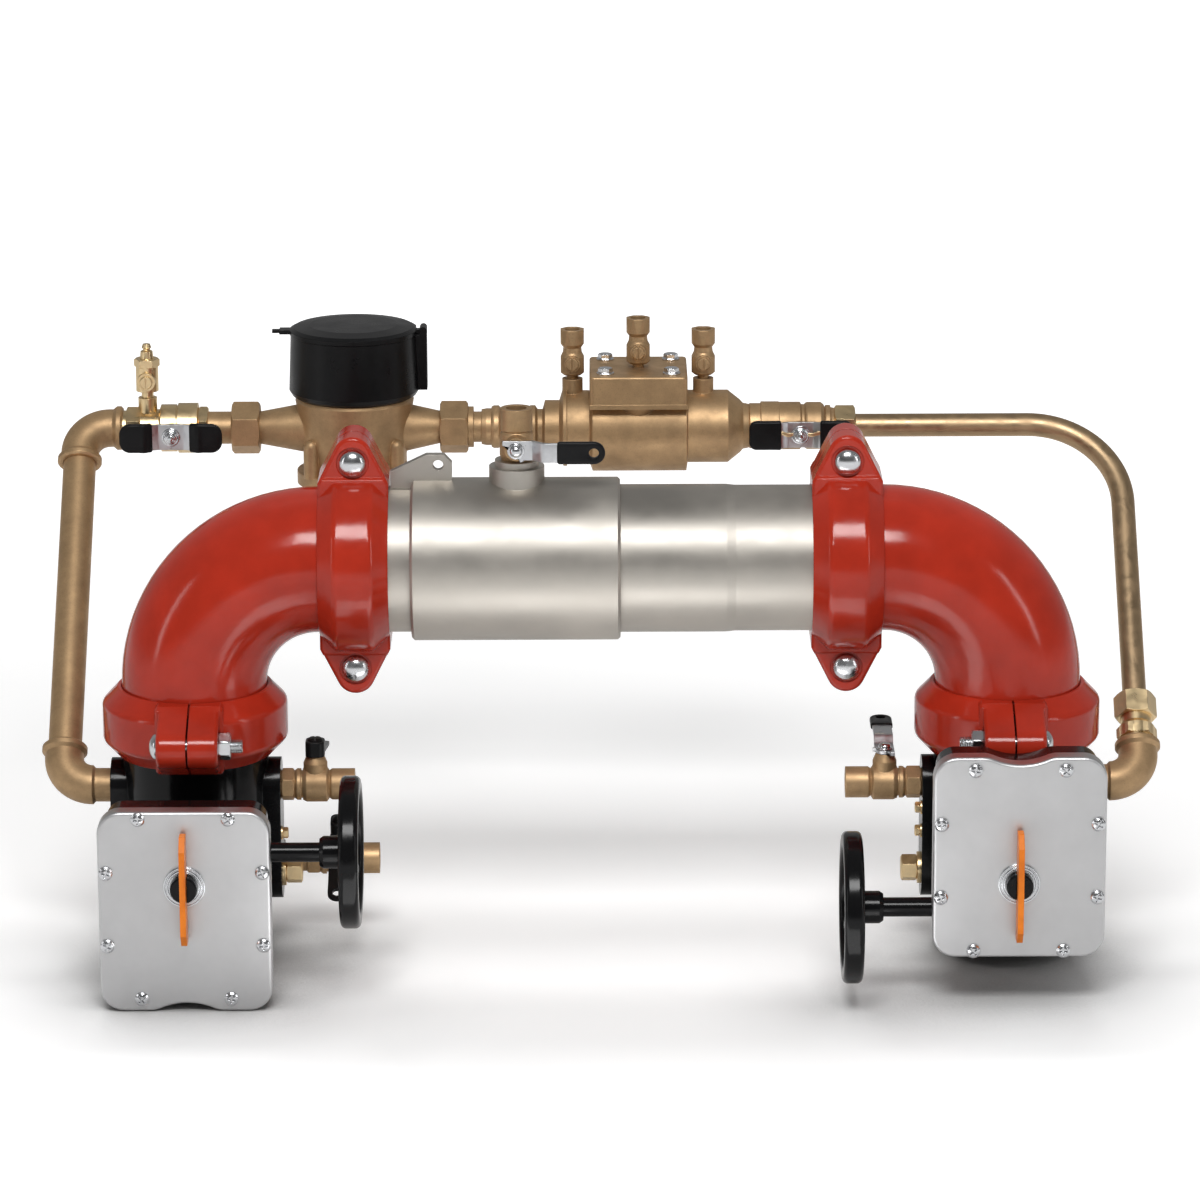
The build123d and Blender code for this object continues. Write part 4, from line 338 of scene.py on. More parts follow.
def all_finishes(colours):
    """One material for each material slot of the record."""
    steel, nickel, rubber, card = (0.76, 0.77, 0.79), (0.55, 0.54, 0.50), (0.015,) * 3, (0.75, 0.75, 0.73)
    recipes = {
        "stainless": (rolled_steel, colours.stainless, dict(rough=0.48, along=(0.03, 1.0, 1.0))),
        "seat_bronze": (machined, shade(colours.cast_bronze, 1.1), dict(rough=0.3)),
        "red_enamel": (enamel, colours.red_enamel, dict(rough=0.15, grain_mm=0.03, edge_mm=1.2, gloss=0.34)),
        "black_rubber": (moulded, rubber, dict(rough=0.6, grain_mm=0.05)),
        "bright_steel": (machined, shade(steel, 0.92), dict(rough=0.22, edge_mm=0.4, swirl=0.2)),
        "black_enamel": (enamel, colours.black_enamel,
                         dict(rough=0.16, grain_mm=0.03, edge_mm=1.0, gloss=0.20)),
        "disc_nickel": (machined, nickel, dict(rough=0.3)),
        "orange_flag": (moulded, colours.orange, dict(rough=0.36, grain_mm=0.02, per_metre=700)),
        "cover_steel": (blasted, colours.cover, dict(rough=0.42)),
        "bright_brass": (machined, colours.bright_brass, dict(rough=0.33, edge_mm=0.35, swirl=0.12)),
        "cast_bronze": (sand_cast, colours.cast_bronze, dict(rough=0.50, grain_mm=0.10)),
        "black_grip": (moulded, colours.grip, dict(rough=0.34, grain_mm=0.03)),
        "lever_steel": (machined, shade(steel, 0.8), dict(rough=0.32, edge_mm=0.4, swirl=0.3)),
        "register_face": (moulded, card, dict(rough=0.3, grain_mm=0.01)),
        "black_plastic": (moulded, colours.plastic, dict(rough=0.30, grain_mm=0.03, per_metre=1800)),
        "tube_copper": (machined, colours.copper_tube, dict(rough=0.42, edge_mm=0.35, swirl=0.25)),
    }
    return {slot: make(slot, rgb, **settings) for slot, (make, rgb, settings) in recipes.items()}


class BACKFLOW_OT_finishes(bpy.types.Operator):
    """Gives every CAD piece the procedural finish of its material slot"""

    bl_idname = "backflow.finishes"
    bl_label = "Castings and pipework"

    def execute(self, context):
        made = all_finishes(context.scene.backflow_colours)
        FINISHES.update(made)
        for row in frame["record"]["subparts"]:
            piece = frame["nodes"][row["node"]]
            for holder in piece.material_slots:
                holder.material = made[row["material_slot"]]
        return {"FINISHED"}


def soft_lamp(name, place, target, width, height, watts):
    """Rectangular area lamp that looks at a point."""
    data = bpy.data.lights.new(name, "AREA")
    data.shape = "RECTANGLE"
    data.size = width
    data.size_y = height
    data.energy = watts
    lamp = bpy.data.objects.new(name, data)
    lamp.location = place
    heading = Vector(target) - lamp.location
    lamp.rotation_euler = heading.to_track_quat("-Z", "Y").to_euler()
    bpy.context.collection.objects.link(lamp)
    return lamp


def pale_floor(height):
    """Wide flat floor, faces up: a rectangle of two parameters at one height.

    Its own glow grows with the distance from the assembly, so that the far floor is plain white. Its colour and
    its glow both fall, by ambient occlusion, where the assembly stands close over it: a painted contact shadow."""
    half_side, shadow_reach, mirrored = 14.0, 0.13, 0.25
    shaded = (0.42, 0.415, 0.41)
    side = np.array([-half_side, half_side])
    x, y = np.meshgrid(side, side)
    verts = np.stack([x.ravel(), y.ravel(), np.full(4, height)], axis=1)
    mesh = bpy.data.meshes.new("floor")
    mesh.from_pydata(verts.tolist(), [], [(0, 1, 3, 2)])
    floor = bpy.data.objects.new("floor", mesh)
    bpy.context.collection.objects.link(floor)
    made = Finish("floor_paper", PAPER_WHITE, 0.9)
    # Painted contact shadow: ambient occlusion darkens the floor's colour and its glow near the assembly.
    near = made.node("ShaderNodeAmbientOcclusion", samples=8)
    near.inputs["Distance"].default_value = shadow_reach
    free = made.ranged(near.outputs["AO"], low=0.0, high=1.0, start=0.38, end=0.98)
    tone = made.mixed(free, shaded, PAPER_WHITE)
    ray = made.node("ShaderNodeLightPath")
    reach = made.node("ShaderNodeVectorMath", operation="LENGTH")
    made.feed(reach.inputs[0], made.place)
    far = made.ranged(reach.outputs["Value"], low=0.30, high=1.0, start=0.8, end=2.6)
    seen = made.maths("MAXIMUM", ray.outputs["Is Camera Ray"], ray.outputs["Is Transmission Ray"])
    seen = made.maths("MAXIMUM", seen, made.maths("MULTIPLY", ray.outputs["Is Glossy Ray"], mirrored))
    made.shader.inputs["Emission Color"].default_value = (1, 1, 1, 1)
    glow = made.maths("MULTIPLY", made.maths("MULTIPLY", seen, far), free)
    made.feed(made.shader.inputs["Emission Strength"], glow)
    made.relief(made.noise(400, 2.0), 0.02, 0.1)
    mesh.materials.append(made.done(base_color=tone))


def studio_world():
    """White for the camera, a dim grey studio for gloss, lighter to the rear, and grey for fill light."""
    front_gloss, rear_gloss, fill_light = 0.10, 0.30, 0.13
    world = bpy.data.worlds.new("studio")
    bpy.context.scene.world = world
    world.use_nodes = True
    tree = world.node_tree
    back = tree.nodes["Background"]
    ray = tree.nodes.new("ShaderNodeLightPath")
    coords = tree.nodes.new("ShaderNodeTexCoord")
    split = tree.nodes.new("ShaderNodeSeparateXYZ")
    tree.links.new(coords.outputs["Generated"], split.inputs["Vector"])
    depth = tree.nodes.new("ShaderNodeMapRange")
    tree.links.new(split.outputs["Y"], depth.inputs["Value"])
    for socket, number in (("From Min", -0.6), ("From Max", 0.6), ("To Min", front_gloss),
                           ("To Max", rear_gloss)):
        depth.inputs[socket].default_value = number
    mirror = ray.outputs["Is Glossy Ray"]
    clear = maths_node(tree, "MAXIMUM", ray.outputs["Is Camera Ray"], ray.outputs["Is Transmission Ray"])
    shiny = maths_node(tree, "MULTIPLY", mirror, depth.outputs["Result"])
    matt = maths_node(tree, "SUBTRACT", 1.0, maths_node(tree, "MAXIMUM", clear, mirror))
    fill = maths_node(tree, "MULTIPLY", matt, fill_light)
    strength = maths_node(tree, "ADD", maths_node(tree, "ADD", clear, shiny), fill)
    tree.links.new(strength, back.inputs["Strength"])
    back.inputs["Color"].default_value = (1, 1, 1, 1)


def axis_of(joint):
    """A point on a joint's axis in millimetres, and the axis."""
    row = next(row for row in frame["joints"] if row["name"] == joint)
    return np.array(row["pos_m"]) / MM, np.array(row["axis"], float)


def ends(node, axis):
    """Lowest and highest place of a CAD node along one axis, in millimetres."""
    low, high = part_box(node)
    return low[axis] / MM, high[axis] / MM


def between(lower, upper, axis):
    """Halfway between the facing ends of two pipes, in millimetres."""
    return (ends(lower, axis)[1] + ends(upper, axis)[0]) / 2


def closed_shell(rows):
    """Points, quads and end fans of a row of closed loops.

    Point (i, j) is joined to (i + 1, j) and (i, j + 1). Where the last loop is the first again the
    surface closes on itself, and otherwise a fan about the loop's middle closes each end. All faces
    are turned over if the volume that they enclose comes out below zero."""
    rows = np.asarray(rows, float)
    ring = np.allclose(rows[0], rows[-1])
    if ring:
        rows = rows[:-1]
    count, sides = rows.shape[:2]
    index = np.arange(count * sides).reshape(count, sides)
    near, far = (index, np.roll(index, -1, axis=0)) if ring else (index[:-1], index[1:])
    quads = np.stack([near, np.roll(near, -1, 1), np.roll(far, -1, 1), far], axis=-1).reshape(-1, 4)
    points = rows.reshape(-1, 3)
    fans = np.empty((0, 3), int)
    if not ring:
        points = np.vstack([points, rows[0].mean(axis=0), rows[-1].mean(axis=0)])
        first = np.stack([np.full(sides, count * sides), np.roll(index[0], -1), index[0]], axis=-1)
        last = np.stack([np.full(sides, count * sides + 1), index[-1], np.roll(index[-1], -1)], axis=-1)
        fans = np.vstack([first, last])
    corners = points[np.vstack([quads[:, :3], quads[:, [0, 2, 3]], fans])]
    if np.einsum("ij,ij->", corners[:, 0], np.cross(corners[:, 1], corners[:, 2])) < 0:
        quads, fans = quads[:, ::-1], fans[:, ::-1]
    return points, quads, fans


def fitting(name, shells, body, slot, sharp=35.0):
    """Piece of one finish, made of closed shells in millimetres, that rides on a CAD body."""
    points, faces, start = [], [], 0
    for rows in shells:
        corners, quads, fans = closed_shell(rows)
        points.append(corners)
        faces += (quads + start).tolist() + (fans + start).tolist()
        start += len(corners)
    mesh = bpy.data.meshes.new(name)
    mesh.from_pydata((np.vstack(points) * MM).tolist(), [], faces)
    mesh.shade_smooth()
    mesh.set_sharp_from_angle(angle=math.radians(sharp))
    mesh.materials.append(FINISHES[slot])
    piece = bpy.data.objects.new(name, mesh)
    bpy.context.collection.objects.link(piece)
    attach(piece, body)
    return piece


def placed(rows, origin, out, along=None):
    """Loops moved so that local Z points out and local X points along: a matrix of three directions."""
    out = np.array(out, float)
    if along is None:
        along = (0, 0, 1) if abs(out[2]) < 0.9 else (1, 0, 0)
    along = np.array(along, float)
    turn = np.stack([along, np.cross(out, along), out])
    return np.asarray(rows) @ turn + np.array(origin, float)


def turned(profile, sides=64):
    """Turned shape: (r cos a, r sin a, h) for each radius and height of the profile and turn a."""
    turn = np.linspace(0, 2 * np.pi, sides, endpoint=False)
    radius, height = np.asarray(profile, float).T
    flat = np.stack([np.cos(turn), np.sin(turn)], axis=-1)
    ring = radius[:, None, None] * flat
    return np.concatenate([ring, np.broadcast_to(height[:, None, None], (len(height), sides, 1))], axis=-1)


def arc(radius_at, height_at, radius, start, end, count=7):
    """Profile points on an arc, from one angle to another in degrees."""
    turn = np.radians(np.linspace(start, end, count))
    return np.stack([radius_at + radius * np.cos(turn), height_at + radius * np.sin(turn)], axis=-1)


def hexagon(across, low, high, twist=0.0, sides=72):
    """Hexagon bar, twisted by some degrees, with both ends turned to a cone.

    At turn a the radius is the lesser of the flat's, half the size across flats over the cosine of
    the turn from the nearest flat, and the cone's, which grows from the end with the height."""
    turn = np.linspace(0, 2 * np.pi, sides, endpoint=False)
    lean = (turn + np.pi / 6) % (np.pi / 3) - np.pi / 6
    flat = across / 2 / np.cos(lean)
    rise = np.linspace(0, 0.12 * across / 2, 5)
    cone = 0.96 * across / 2 + 1.73 * rise
    radius = np.minimum(flat, cone[:, None])
    radius = np.vstack([radius, radius[::-1]])
    height = np.concatenate([low + rise, (high - rise)[::-1]])
    turn = turn + math.radians(twist)
    return np.stack([radius * np.cos(turn), radius * np.sin(turn),
                     np.broadcast_to(height[:, None], radius.shape)], axis=-1)


def screw_thread(radius, low, high, pitch, depth, sides=36):
    """Screw thread: the radius less its depth times a triangle wave of height over pitch less the turn.

    Over the last pitch it is drawn in to a chamfered tip."""
    turn = np.linspace(0, 2 * np.pi, sides, endpoint=False)
    height = np.linspace(low, high, int((high - low) / pitch * 8) + 1)[:, None]
    wave = np.abs(((height / pitch - turn / (2 * np.pi)) % 1) * 2 - 1)
    tip = np.clip(1 - (high - height) / pitch, 0, 1)
    ring = radius - depth * wave - depth * tip
    return np.stack([ring * np.cos(turn), ring * np.sin(turn), np.broadcast_to(height, ring.shape)], axis=-1)


def bent(x, joggle, soft=0.9):
    """Height and slope of a lever's middle line: the difference of two softened ramps.

    A ramp over t is half of t plus the root of t squared and the bend's size squared."""
    start, end, rise = joggle
    ramp = [(t + np.sqrt(t * t + soft * soft)) / 2 for t in (x - start, x - end)]
    steep = [(1 + t / np.sqrt(t * t + soft * soft)) / 2 for t in (x - start, x - end)]
    return rise / (end - start) * (ramp[0] - ramp[1]), rise / (end - start) * (steep[0] - steep[1])


def rounded_loop(half_width, half_height, corner, count=6):
    """Rectangle with round corners: a quarter circle of turns about each of four corner centres.

    Where a size is a row of values there is a loop for each."""
    turn = np.radians(np.linspace(0, 90, count)[None, :] + np.arange(4)[:, None] * 90)
    side = np.array([[1, 1], [-1, 1], [-1, -1], [1, -1]], float)[:, None, :]
    sizes = np.broadcast_arrays(half_width, half_height, corner)
    wide, tall, bend = (np.asarray(size, float)[..., None, None] for size in sizes)
    reach = np.stack([wide - bend, tall - bend], axis=-1)
    ring = side * reach + bend[..., None] * np.stack([np.cos(turn), np.sin(turn)], axis=-1)
    return ring.reshape(*ring.shape[:-3], -1, 2)


def bent_bar(x, joggle, half_width, low, high, corner):
    """Bar that follows a lever's bent line: one rounded rectangle, square to the line, for each x."""
    middle, slope = bent(x, joggle)
    half_height = (high - low) / 2
    loops = rounded_loop(half_width, half_height, np.minimum(corner, half_height * 0.98))
    length = np.sqrt(1 + slope * slope)
    lift = loops[:, :, 1] + ((low + high) / 2)[:, None]
    return np.stack([x[:, None] - lift * (slope / length)[:, None], loops[:, :, 0],
                     middle[:, None] + lift / length[:, None]], axis=-1)


def strap(near, far, joggle, width, thickness):
    """Sheet steel strap along a lever's bent line, with rubbed edges."""
    along_bend = np.linspace(joggle[0] - 2, joggle[1] + 2, 40)
    x = np.unique(np.concatenate([np.linspace(near, far, 30), along_bend]))
    x = x[(x >= near) & (x <= far)]
    even = np.ones_like(x)
    return bent_bar(x, joggle, even * width / 2, even * 0.0, even * thickness, 0.35)


def tee_grip(start, end, joggle, half_height, thickness, corner, wall):
    """Dipped grip of a tee handle.

    Near its outer end the half height falls with the round corner, as corner less the root of corner
    squared less distance squared, and its ends close with a quarter circle of the skin's own radius.
    Where the strap is bent the skin is a little thicker, as vinyl gathers there."""
    lip_length, nose_length, gather_most, skin_corner = 1.2, 2.4, 0.35, 2.1
    fall = corner * (1 - np.cos(np.linspace(0, np.pi / 2, 14)))
    x = np.unique(np.concatenate([start + lip_length * (1 - np.cos(np.linspace(0, np.pi / 2, 7))),
                                  np.linspace(start + lip_length, end - corner, 26), end - fall]))
    out = np.clip((x - (end - corner)) / corner, 0, 1)
    half = half_height - corner * (1 - np.sqrt(np.clip(1 - out * out, 0, 1)))
    lip = np.sqrt(np.clip(1 - np.clip((start + lip_length - x) / lip_length, 0, 1) ** 2, 0.0, 1))
    nose = np.sqrt(np.clip(1 - np.clip((x - end + nose_length) / nose_length, 0, 1) ** 2, 0.02, 1))
    gather = gather_most * np.exp(-((x - joggle[1] - 0.5) / 2.2) ** 2)
    skin = (wall + gather) * lip
    low = thickness / 2 - (thickness / 2 + skin) * nose
    high = thickness / 2 + (thickness / 2 + skin) * nose
    return bent_bar(x, joggle, half - wall * (1 - lip) + 0.5 * gather, low, high, skin_corner)


def round_end_loop(near, far, half, inset, corner=2.4):
    """Outline of a strap with one round end: a half circle, two straight runs and two small corners."""
    turn = np.radians(np.linspace(-90, 90, 33))
    nose = np.stack([far + (half - inset) * np.cos(turn), (half - inset) * np.sin(turn)], axis=-1)
    back = near + inset
    bend = max(corner - inset, 0.2)
    quarter = np.radians(np.linspace(90, 180, 7))
    reach = half - inset - bend
    upper = np.stack([back + bend + bend * np.cos(quarter), reach + bend * np.sin(quarter)], axis=-1)
    run = np.linspace(far, back + bend, 14)[1:-1]
    top = np.stack([run, np.full_like(run, half - inset)], axis=-1)
    lower = upper[::-1] * (1, -1)
    return np.concatenate([nose, top, upper, lower, top[::-1] * (1, -1)])


def drilled_plate(near, far, half, low, high, hole, edge):
    """Round ended plate with a hole, closed on itself.

    Row by row the loop goes over the top from the hole's rim to the outline, round the outer edge by
    a quarter circle, down the side, round again, back under to the hole and up its wall. A point of
    the hole's rim stands in the direction of its outline point from the hole's middle."""
    lean = np.linspace(0, np.pi / 2, 5)
    shape = [(edge * (1 - math.sin(a)), high - edge * (1 - math.cos(a))) for a in lean]
    shape += [(edge * (1 - math.cos(a)), low + edge * (1 - math.sin(a))) for a in lean]
    outline = round_end_loop(near, far, half, 0.0)
    course = outline - (far, 0.0)
    course = course / np.linalg.norm(course, axis=1, keepdims=True)
    rim = [(hole + 0.5, high), (hole + 0.15, high - 0.15), (hole, high - 0.5), (hole, low + 0.5),
           (hole + 0.15, low + 0.15), (hole + 0.5, low)]

    def level(loop, height):
        return np.column_stack([loop, np.full(len(loop), height)])

    outer = [level(round_end_loop(near, far, half, inset), height) for inset, height in shape]
    inner = [level(course * radius + (far, 0.0), height) for radius, height in rim]
    return np.stack([inner[0]] + outer + inner[::-1])


def plate(outline, low, high, edge=0.3):
    """Flat plate of any outline that its middle sees whole, with its edges eased towards the middle."""
    outline = np.asarray(outline, float)
    middle = outline.mean(axis=0)
    course = outline - middle
    shrink = 1 - edge / np.linalg.norm(course, axis=1, keepdims=True)
    loops = [(middle + course * shrink, low), (outline, low + edge), (outline, high - edge),
             (middle + course * shrink, high)]
    return np.stack([np.column_stack([loop, np.full(len(loop), height)]) for loop, height in loops])


def acorn(seat, radius, height):
    """Profile of a round capped nut: a flange with a rolled rim, then a dome of a quarter ellipse."""
    turn = np.linspace(0, np.pi / 2 * 0.98, 14)
    flange = arc(radius - 0.5, seat + 0.8, 0.5, -60, 90, 6)
    dome = np.stack([(radius - 1.3) * np.cos(turn), seat + 1.6 + (height - 1.6) * np.sin(turn)], axis=-1)
    return np.vstack([[(radius - 1.2, seat)], flange, [(radius - 1.25, seat + 1.35)], dome])


class BACKFLOW_OT_coupling_bolts(bpy.types.Operator):
    """Makes the round headed bolts and hexagon nuts of the four couplings"""

    bl_idname = "backflow.coupling_bolts"
    bl_label = "Coupling bolts"

    def execute(self, context):
        bolt = self.bolt(context.scene.backflow_fittings)
        shells = [placed(rows, spot, out) for spot, out in self.spots() for rows in bolt]
        bolts = fitting("coupling_bolt_set", shells, "root", "bright_steel")
        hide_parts("coupling_bolts")
        return {"FINISHED"}

    def bolt(self, sizes):
        """Bolt, nut, washer face and thread about a lug pair's middle, with a quarter ellipse as head."""
        head, across, pitch = (size / MM for size in (sizes.bolt_head, sizes.nut_across, sizes.thread_pitch))
        seat, dome_height, head_wall = 22.4, 6.4, 1.6
        shank, hole, core = 5.75, 5.9, 5.2
        washer, nut_end, tip, depth, nut_twist = 8.7, 11.0, 20.0, 0.75, 27.0
        turn = np.linspace(0.03, np.pi / 2, 20)
        dome = np.stack([head * np.sin(turn), -seat - head_wall - dome_height * np.cos(turn)], axis=-1)
        rim = [(head, -seat - 0.4), (head - 0.4, -seat), (hole, -seat)]
        rod = [(shank, -seat), (shank, seat + 9), (core, seat + 9)]
        face = arc(washer, seat + 0.5, 0.5, -90, 90, 5)
        return [turned(np.vstack([dome, rim, rod])),
                hexagon(across, seat + 0.45, seat + nut_end, nut_twist),
                turned(np.vstack([[(5.8, seat)], face, [(5.8, seat + 1.0)]])),
                screw_thread(shank, seat + 8.0, seat + tip, pitch, depth)]

    def spots(self):
        """Middle and direction of each bolt: above and below the housing, behind and before the legs."""
        line_height = sum(ends("check_housing", ALONG_Z)) / 2
        leg_height = between("inlet_valve_body", "inlet_elbow", ALONG_Z)
        line = (between("inlet_elbow", "check_housing", ALONG_X),
                between("check_housing", "outlet_elbow", ALONG_X))
        legs = [(axis_of(side + "_disc_turn")[0][0], out) for side, out in (("inlet", 1), ("outlet", -1))]
        spots = [((x, 0.0, line_height + side * BOLT_REACH), (0, 1, 0)) for x in line for side in (-1, 1)]
        return spots + [((x, side * BOLT_REACH, leg_height), (out, 0, 0)) for x, out in legs
                        for side in (-1, 1)]


class BACKFLOW_OT_drilled_levers(bpy.types.Operator):
    """Makes the two steel levers with drilled black grips"""

    bl_idname = "backflow.drilled_levers"
    bl_label = "Drilled levers"

    def execute(self, context):
        wall = context.scene.backflow_fittings.grip_wall / MM
        self.lever("main_cock_lever", (1, 0, 0), wall, reach=69.0, joggle=(13.8, 21.8, 9.0),
                   grip_start=31.6, hook_side=1)
        self.lever("outlet_lever", (0, 1, 0), wall, reach=74.0, joggle=(17.0, 23.0, 6.0),
                   grip_start=46.0, hook_side=-1)
        return {"FINISHED"}

    def lever(self, body, along, wall, reach, joggle, grip_start, hook_side):
        """Eye plate with a stop hook, bent strap, capped nut and a flat grip with a hole near its end."""
        width, thick, hole, grip_edge = 15.2, 3.0, 3.9, 1.7
        stem, stem_low, cap, cap_height = 3.4, -15.5, 6.4, 5.3
        axle, out = axis_of(body + "_turn")
        origin = axle + LEVER_STANDOFF * out
        half = width / 2
        eye = plate(self.eye_outline(joggle[0] - 3, half) * (1, hook_side), -0.05, thick + 0.05)
        parts = [eye, strap(joggle[0] - 3.6, grip_start + 4, joggle, width, thick)]
        nut = [turned([(stem, stem_low), (stem, 0.2)]), turned(acorn(thick, cap, cap_height))]
        steel, nut = ([placed(rows, origin, out, along) for rows in shells] for shells in (parts, nut))
        fitting(body + "_nut", nut, body, "bright_steel")
        piece = fitting(body + "_strap", steel, body, "lever_steel")
        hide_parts(body)
        grip = drilled_plate(grip_start, reach - half - wall, half + wall, joggle[2] - wall,
                             joggle[2] + thick + wall, hole, grip_edge)
        fitting(body + "_grip", [placed(grip, origin, out, along)], body, "black_grip")

    def eye_outline(self, near, half):
        """Outline about the stem, cut round on the hook's side by an arc of the stop's radius."""
        stop_radius = 7.0
        bow = np.radians(np.linspace(152, 288, 24))
        cut = stop_radius * np.stack([np.cos(bow), np.sin(bow)], axis=-1)
        return np.vstack([[(near, -half), (near, half), (0, half), (-10.6, half), (-10.8, 4.4)], cut,
                          [(3.4, -9.4), (6.2, -8.2), (5.4, -half)]])


class BACKFLOW_OT_tee_handles(bpy.types.Operator):
    """Makes the tee handles of the two bypass ball valves"""

    bl_idname = "backflow.tee_handles"
    bl_label = "Tee handles"

    def execute(self, context):
        wall = context.scene.backflow_fittings.grip_wall / MM
        self.handle("inlet_bypass_handle", wall, joggle=(11.0, 22.0, 5.0), corner=9.0)
        self.handle("outlet_bypass_handle", wall, joggle=(11.0, 16.0, 2.6), corner=6.0)
        origin, out = self.seat("outlet_bypass_handle")
        fitting("seal_wire", self.seal_wire(origin, out), "outlet_bypass_handle", "bright_brass")
        return {"FINISHED"}

    def seat(self, body):
        """Where a handle's strap lies on its valve, and the way that it faces."""
        axle, axis = axis_of(body + "_turn")
        return axle - TEE_STANDOFF * axis, -axis

    def handle(self, body, wall, joggle, corner):
        """Two wings of one bent strap with their grips, and a stepped nut."""
        strap_end, strap_width, thick = 38.0, 21.2, 3.0
        grip_start, grip_end, grip_half = 16.3, 42.0, 12.0
        origin, out = self.seat(body)
        steel, skins = [], []
        for side in (-1, 1):
            wing = strap(-0.5, strap_end, joggle, strap_width, thick)
            grip = tee_grip(grip_start, grip_end, joggle, grip_half, thick, corner, wall)
            steel.append(placed(wing, origin, out, (side, 0, 0)))
            skins.append(placed(grip, origin, out, (side, 0, 0)))
        nut = [turned([(4.0, -16.0), (4.0, 0.2)]), turned(acorn(thick, 7.7, 3.4)), hexagon(10.0, 4.4, 8.0),
               turned(acorn(7.2, 3.8, 2.4))]
        fitting(body + "_nut", [placed(rows, origin, out) for rows in nut], body, "bright_steel")
        piece = fitting(body + "_strap", steel, body, "lever_steel")
        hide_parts(body)
        fitting(body + "_grips", skins, body, "black_grip")

    def seal_wire(self, origin, out):
        """Two flat brass tongues through the nut: half height a sine bell about each tongue's middle."""
        least, swell, half_thick, over_strap = 0.55, 1.1, 0.45, 4.6
        shells = []
        for low, high, droop in ((-19.4, -4.6, 0.9), (4.6, 21.0, -0.8)):
            x = np.linspace(low, high, 24)
            part = (x - low) / (high - low)
            loops = rounded_loop(least + swell * np.sin(np.pi * part) ** 0.6, half_thick, 0.3, 4)
            lift = over_strap + 2.0 * part * (1 - part)
            rise = 1.2 + droop * np.sin(2.2 * np.pi * part)
            rows = np.stack([np.broadcast_to(x[:, None], loops.shape[:2]), loops[:, :, 0] + rise[:, None],
                             loops[:, :, 1] + lift[:, None]], axis=-1)
            shells.append(placed(rows, origin, out, (1, 0, 0)))
        return shells


class BACKFLOW_OT_stem_rings(bpy.types.Operator):
    """Makes the stepped bright rings where the flag stems leave the gear covers"""

    bl_idname = "backflow.stem_rings"
    bl_label = "Stem rings"

    def execute(self, context):
        """The profile is a closed loop beside the stem, and the ring is that profile carried round it."""
        bore, flange = 10.8, 16.0
        profile = np.vstack([[(bore, 0.0), (flange, 0.0)], arc(flange - 0.4, 1.5, 0.6, -20, 90, 7),
                             [(14.9, 2.1), (14.6, 1.3), (13.9, 1.3), (13.7, 2.2)],
                             arc(13.3, 2.25, 0.4, 10, 90, 5),
                             [(12.5, 2.65), (12.2, 2.2), (11.9, 2.2), (11.7, 2.7), (bore, 2.7), (bore, 0.0)]])
        shells = []
        for side in ("inlet", "outlet"):
            axle, out = axis_of(side + "_disc_turn")
            cover_low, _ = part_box(side + "_gear_cover")
            face = np.array([axle[0], cover_low[1] / MM + COVER_BOSS_HEIGHT, axle[2]])
            shells.append(placed(turned(profile, 96), face, out))
        fitting("stem_rings", shells, "root", "bright_steel")
        return {"FINISHED"}


class BACKFLOW_OT_register_dial(bpy.types.Operator):
    """Makes the marks, the counter and the sweep hand on the meter's register"""

    bl_idname = "backflow.register_dial"
    bl_label = "Register dial"

    def execute(self, context):
        (left, front, _), (right, back, top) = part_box("meter_register")
        middle = np.array([(left + right) / 2, (front + back) / 2, top]) / MM
        for name, shells, slot in (("register_marks", self.marks(), "black_plastic"),
                                   ("register_wheels", self.wheels(), "register_face"),
                                   ("register_hand", self.hand(), "red_enamel")):
            fitting(name, [placed(rows, middle, (0, 0, 1), (1, 0, 0)) for rows in shells], "root", slot)
        return {"FINISHED"}

    def marks(self):
        """A hundred bars with each tenth longer and wider, the counter's window and a thin ring."""
        count, long_start, short_start, end = 100, 27.0, 29.5, 32.5
        shells = [self.spoke(360 / count * mark, short_start if mark % 10 else long_start, end,
                             0.2 if mark % 10 else 0.45, -0.05, 0.25) for mark in range(count)]
        shells.append(plate(rounded_loop(14.5, 4.4, 1.0) + (0, COUNTER_RISE), -0.05, 0.3, 0.1))
        ring = [(33.6, -0.05), (33.6, 0.25), (34.0, 0.25), (34.0, -0.05), (33.6, -0.05)]
        return shells + [turned(ring, 96)]

    def wheels(self):
        """Six blank counter wheels side by side in the window."""
        wheel = rounded_loop(1.9, 3.2, 0.3)
        return [plate(wheel + (x, COUNTER_RISE), 0.2, 0.45, 0.1) for x in np.linspace(-11.4, 11.4, 6)]

    def hand(self):
        """Sweep hand on its boss, and a flow star whose radius goes in and out from point to point."""
        bearing, tail, reach, star_drop = 54.0, -8.0, 30.5, 14.0
        boss = turned([(3.0, -0.05), (3.0, 1.0), (2.6, 1.5), (0.6, 1.6)], 40)
        points = np.arange(24)
        turn = np.radians(points * 15)
        radius = np.where(points % 2, 2.3, 3.4)[:, None]
        star = np.stack([np.cos(turn), np.sin(turn)], axis=-1) * radius
        return [self.spoke(bearing, tail, reach, 0.7, 0.8, 1.2), boss,
                plate(star - (0, star_drop), -0.05, 0.6, 0.1)]

    def spoke(self, turn, near, far, half, low, high):
        """Thin bar on a ray from the middle: (r cos a - w sin a, r sin a + w cos a) at its corners."""
        bearing = math.radians(turn)
        ray = np.array([math.cos(bearing), math.sin(bearing)])
        side = np.array([-math.sin(bearing), math.cos(bearing)])
        corners = np.array([(near, -half), (far, -half), (far, half), (near, half)])
        return plate(corners[:, :1] * ray + corners[:, 1:] * side, low, high, 0.05)


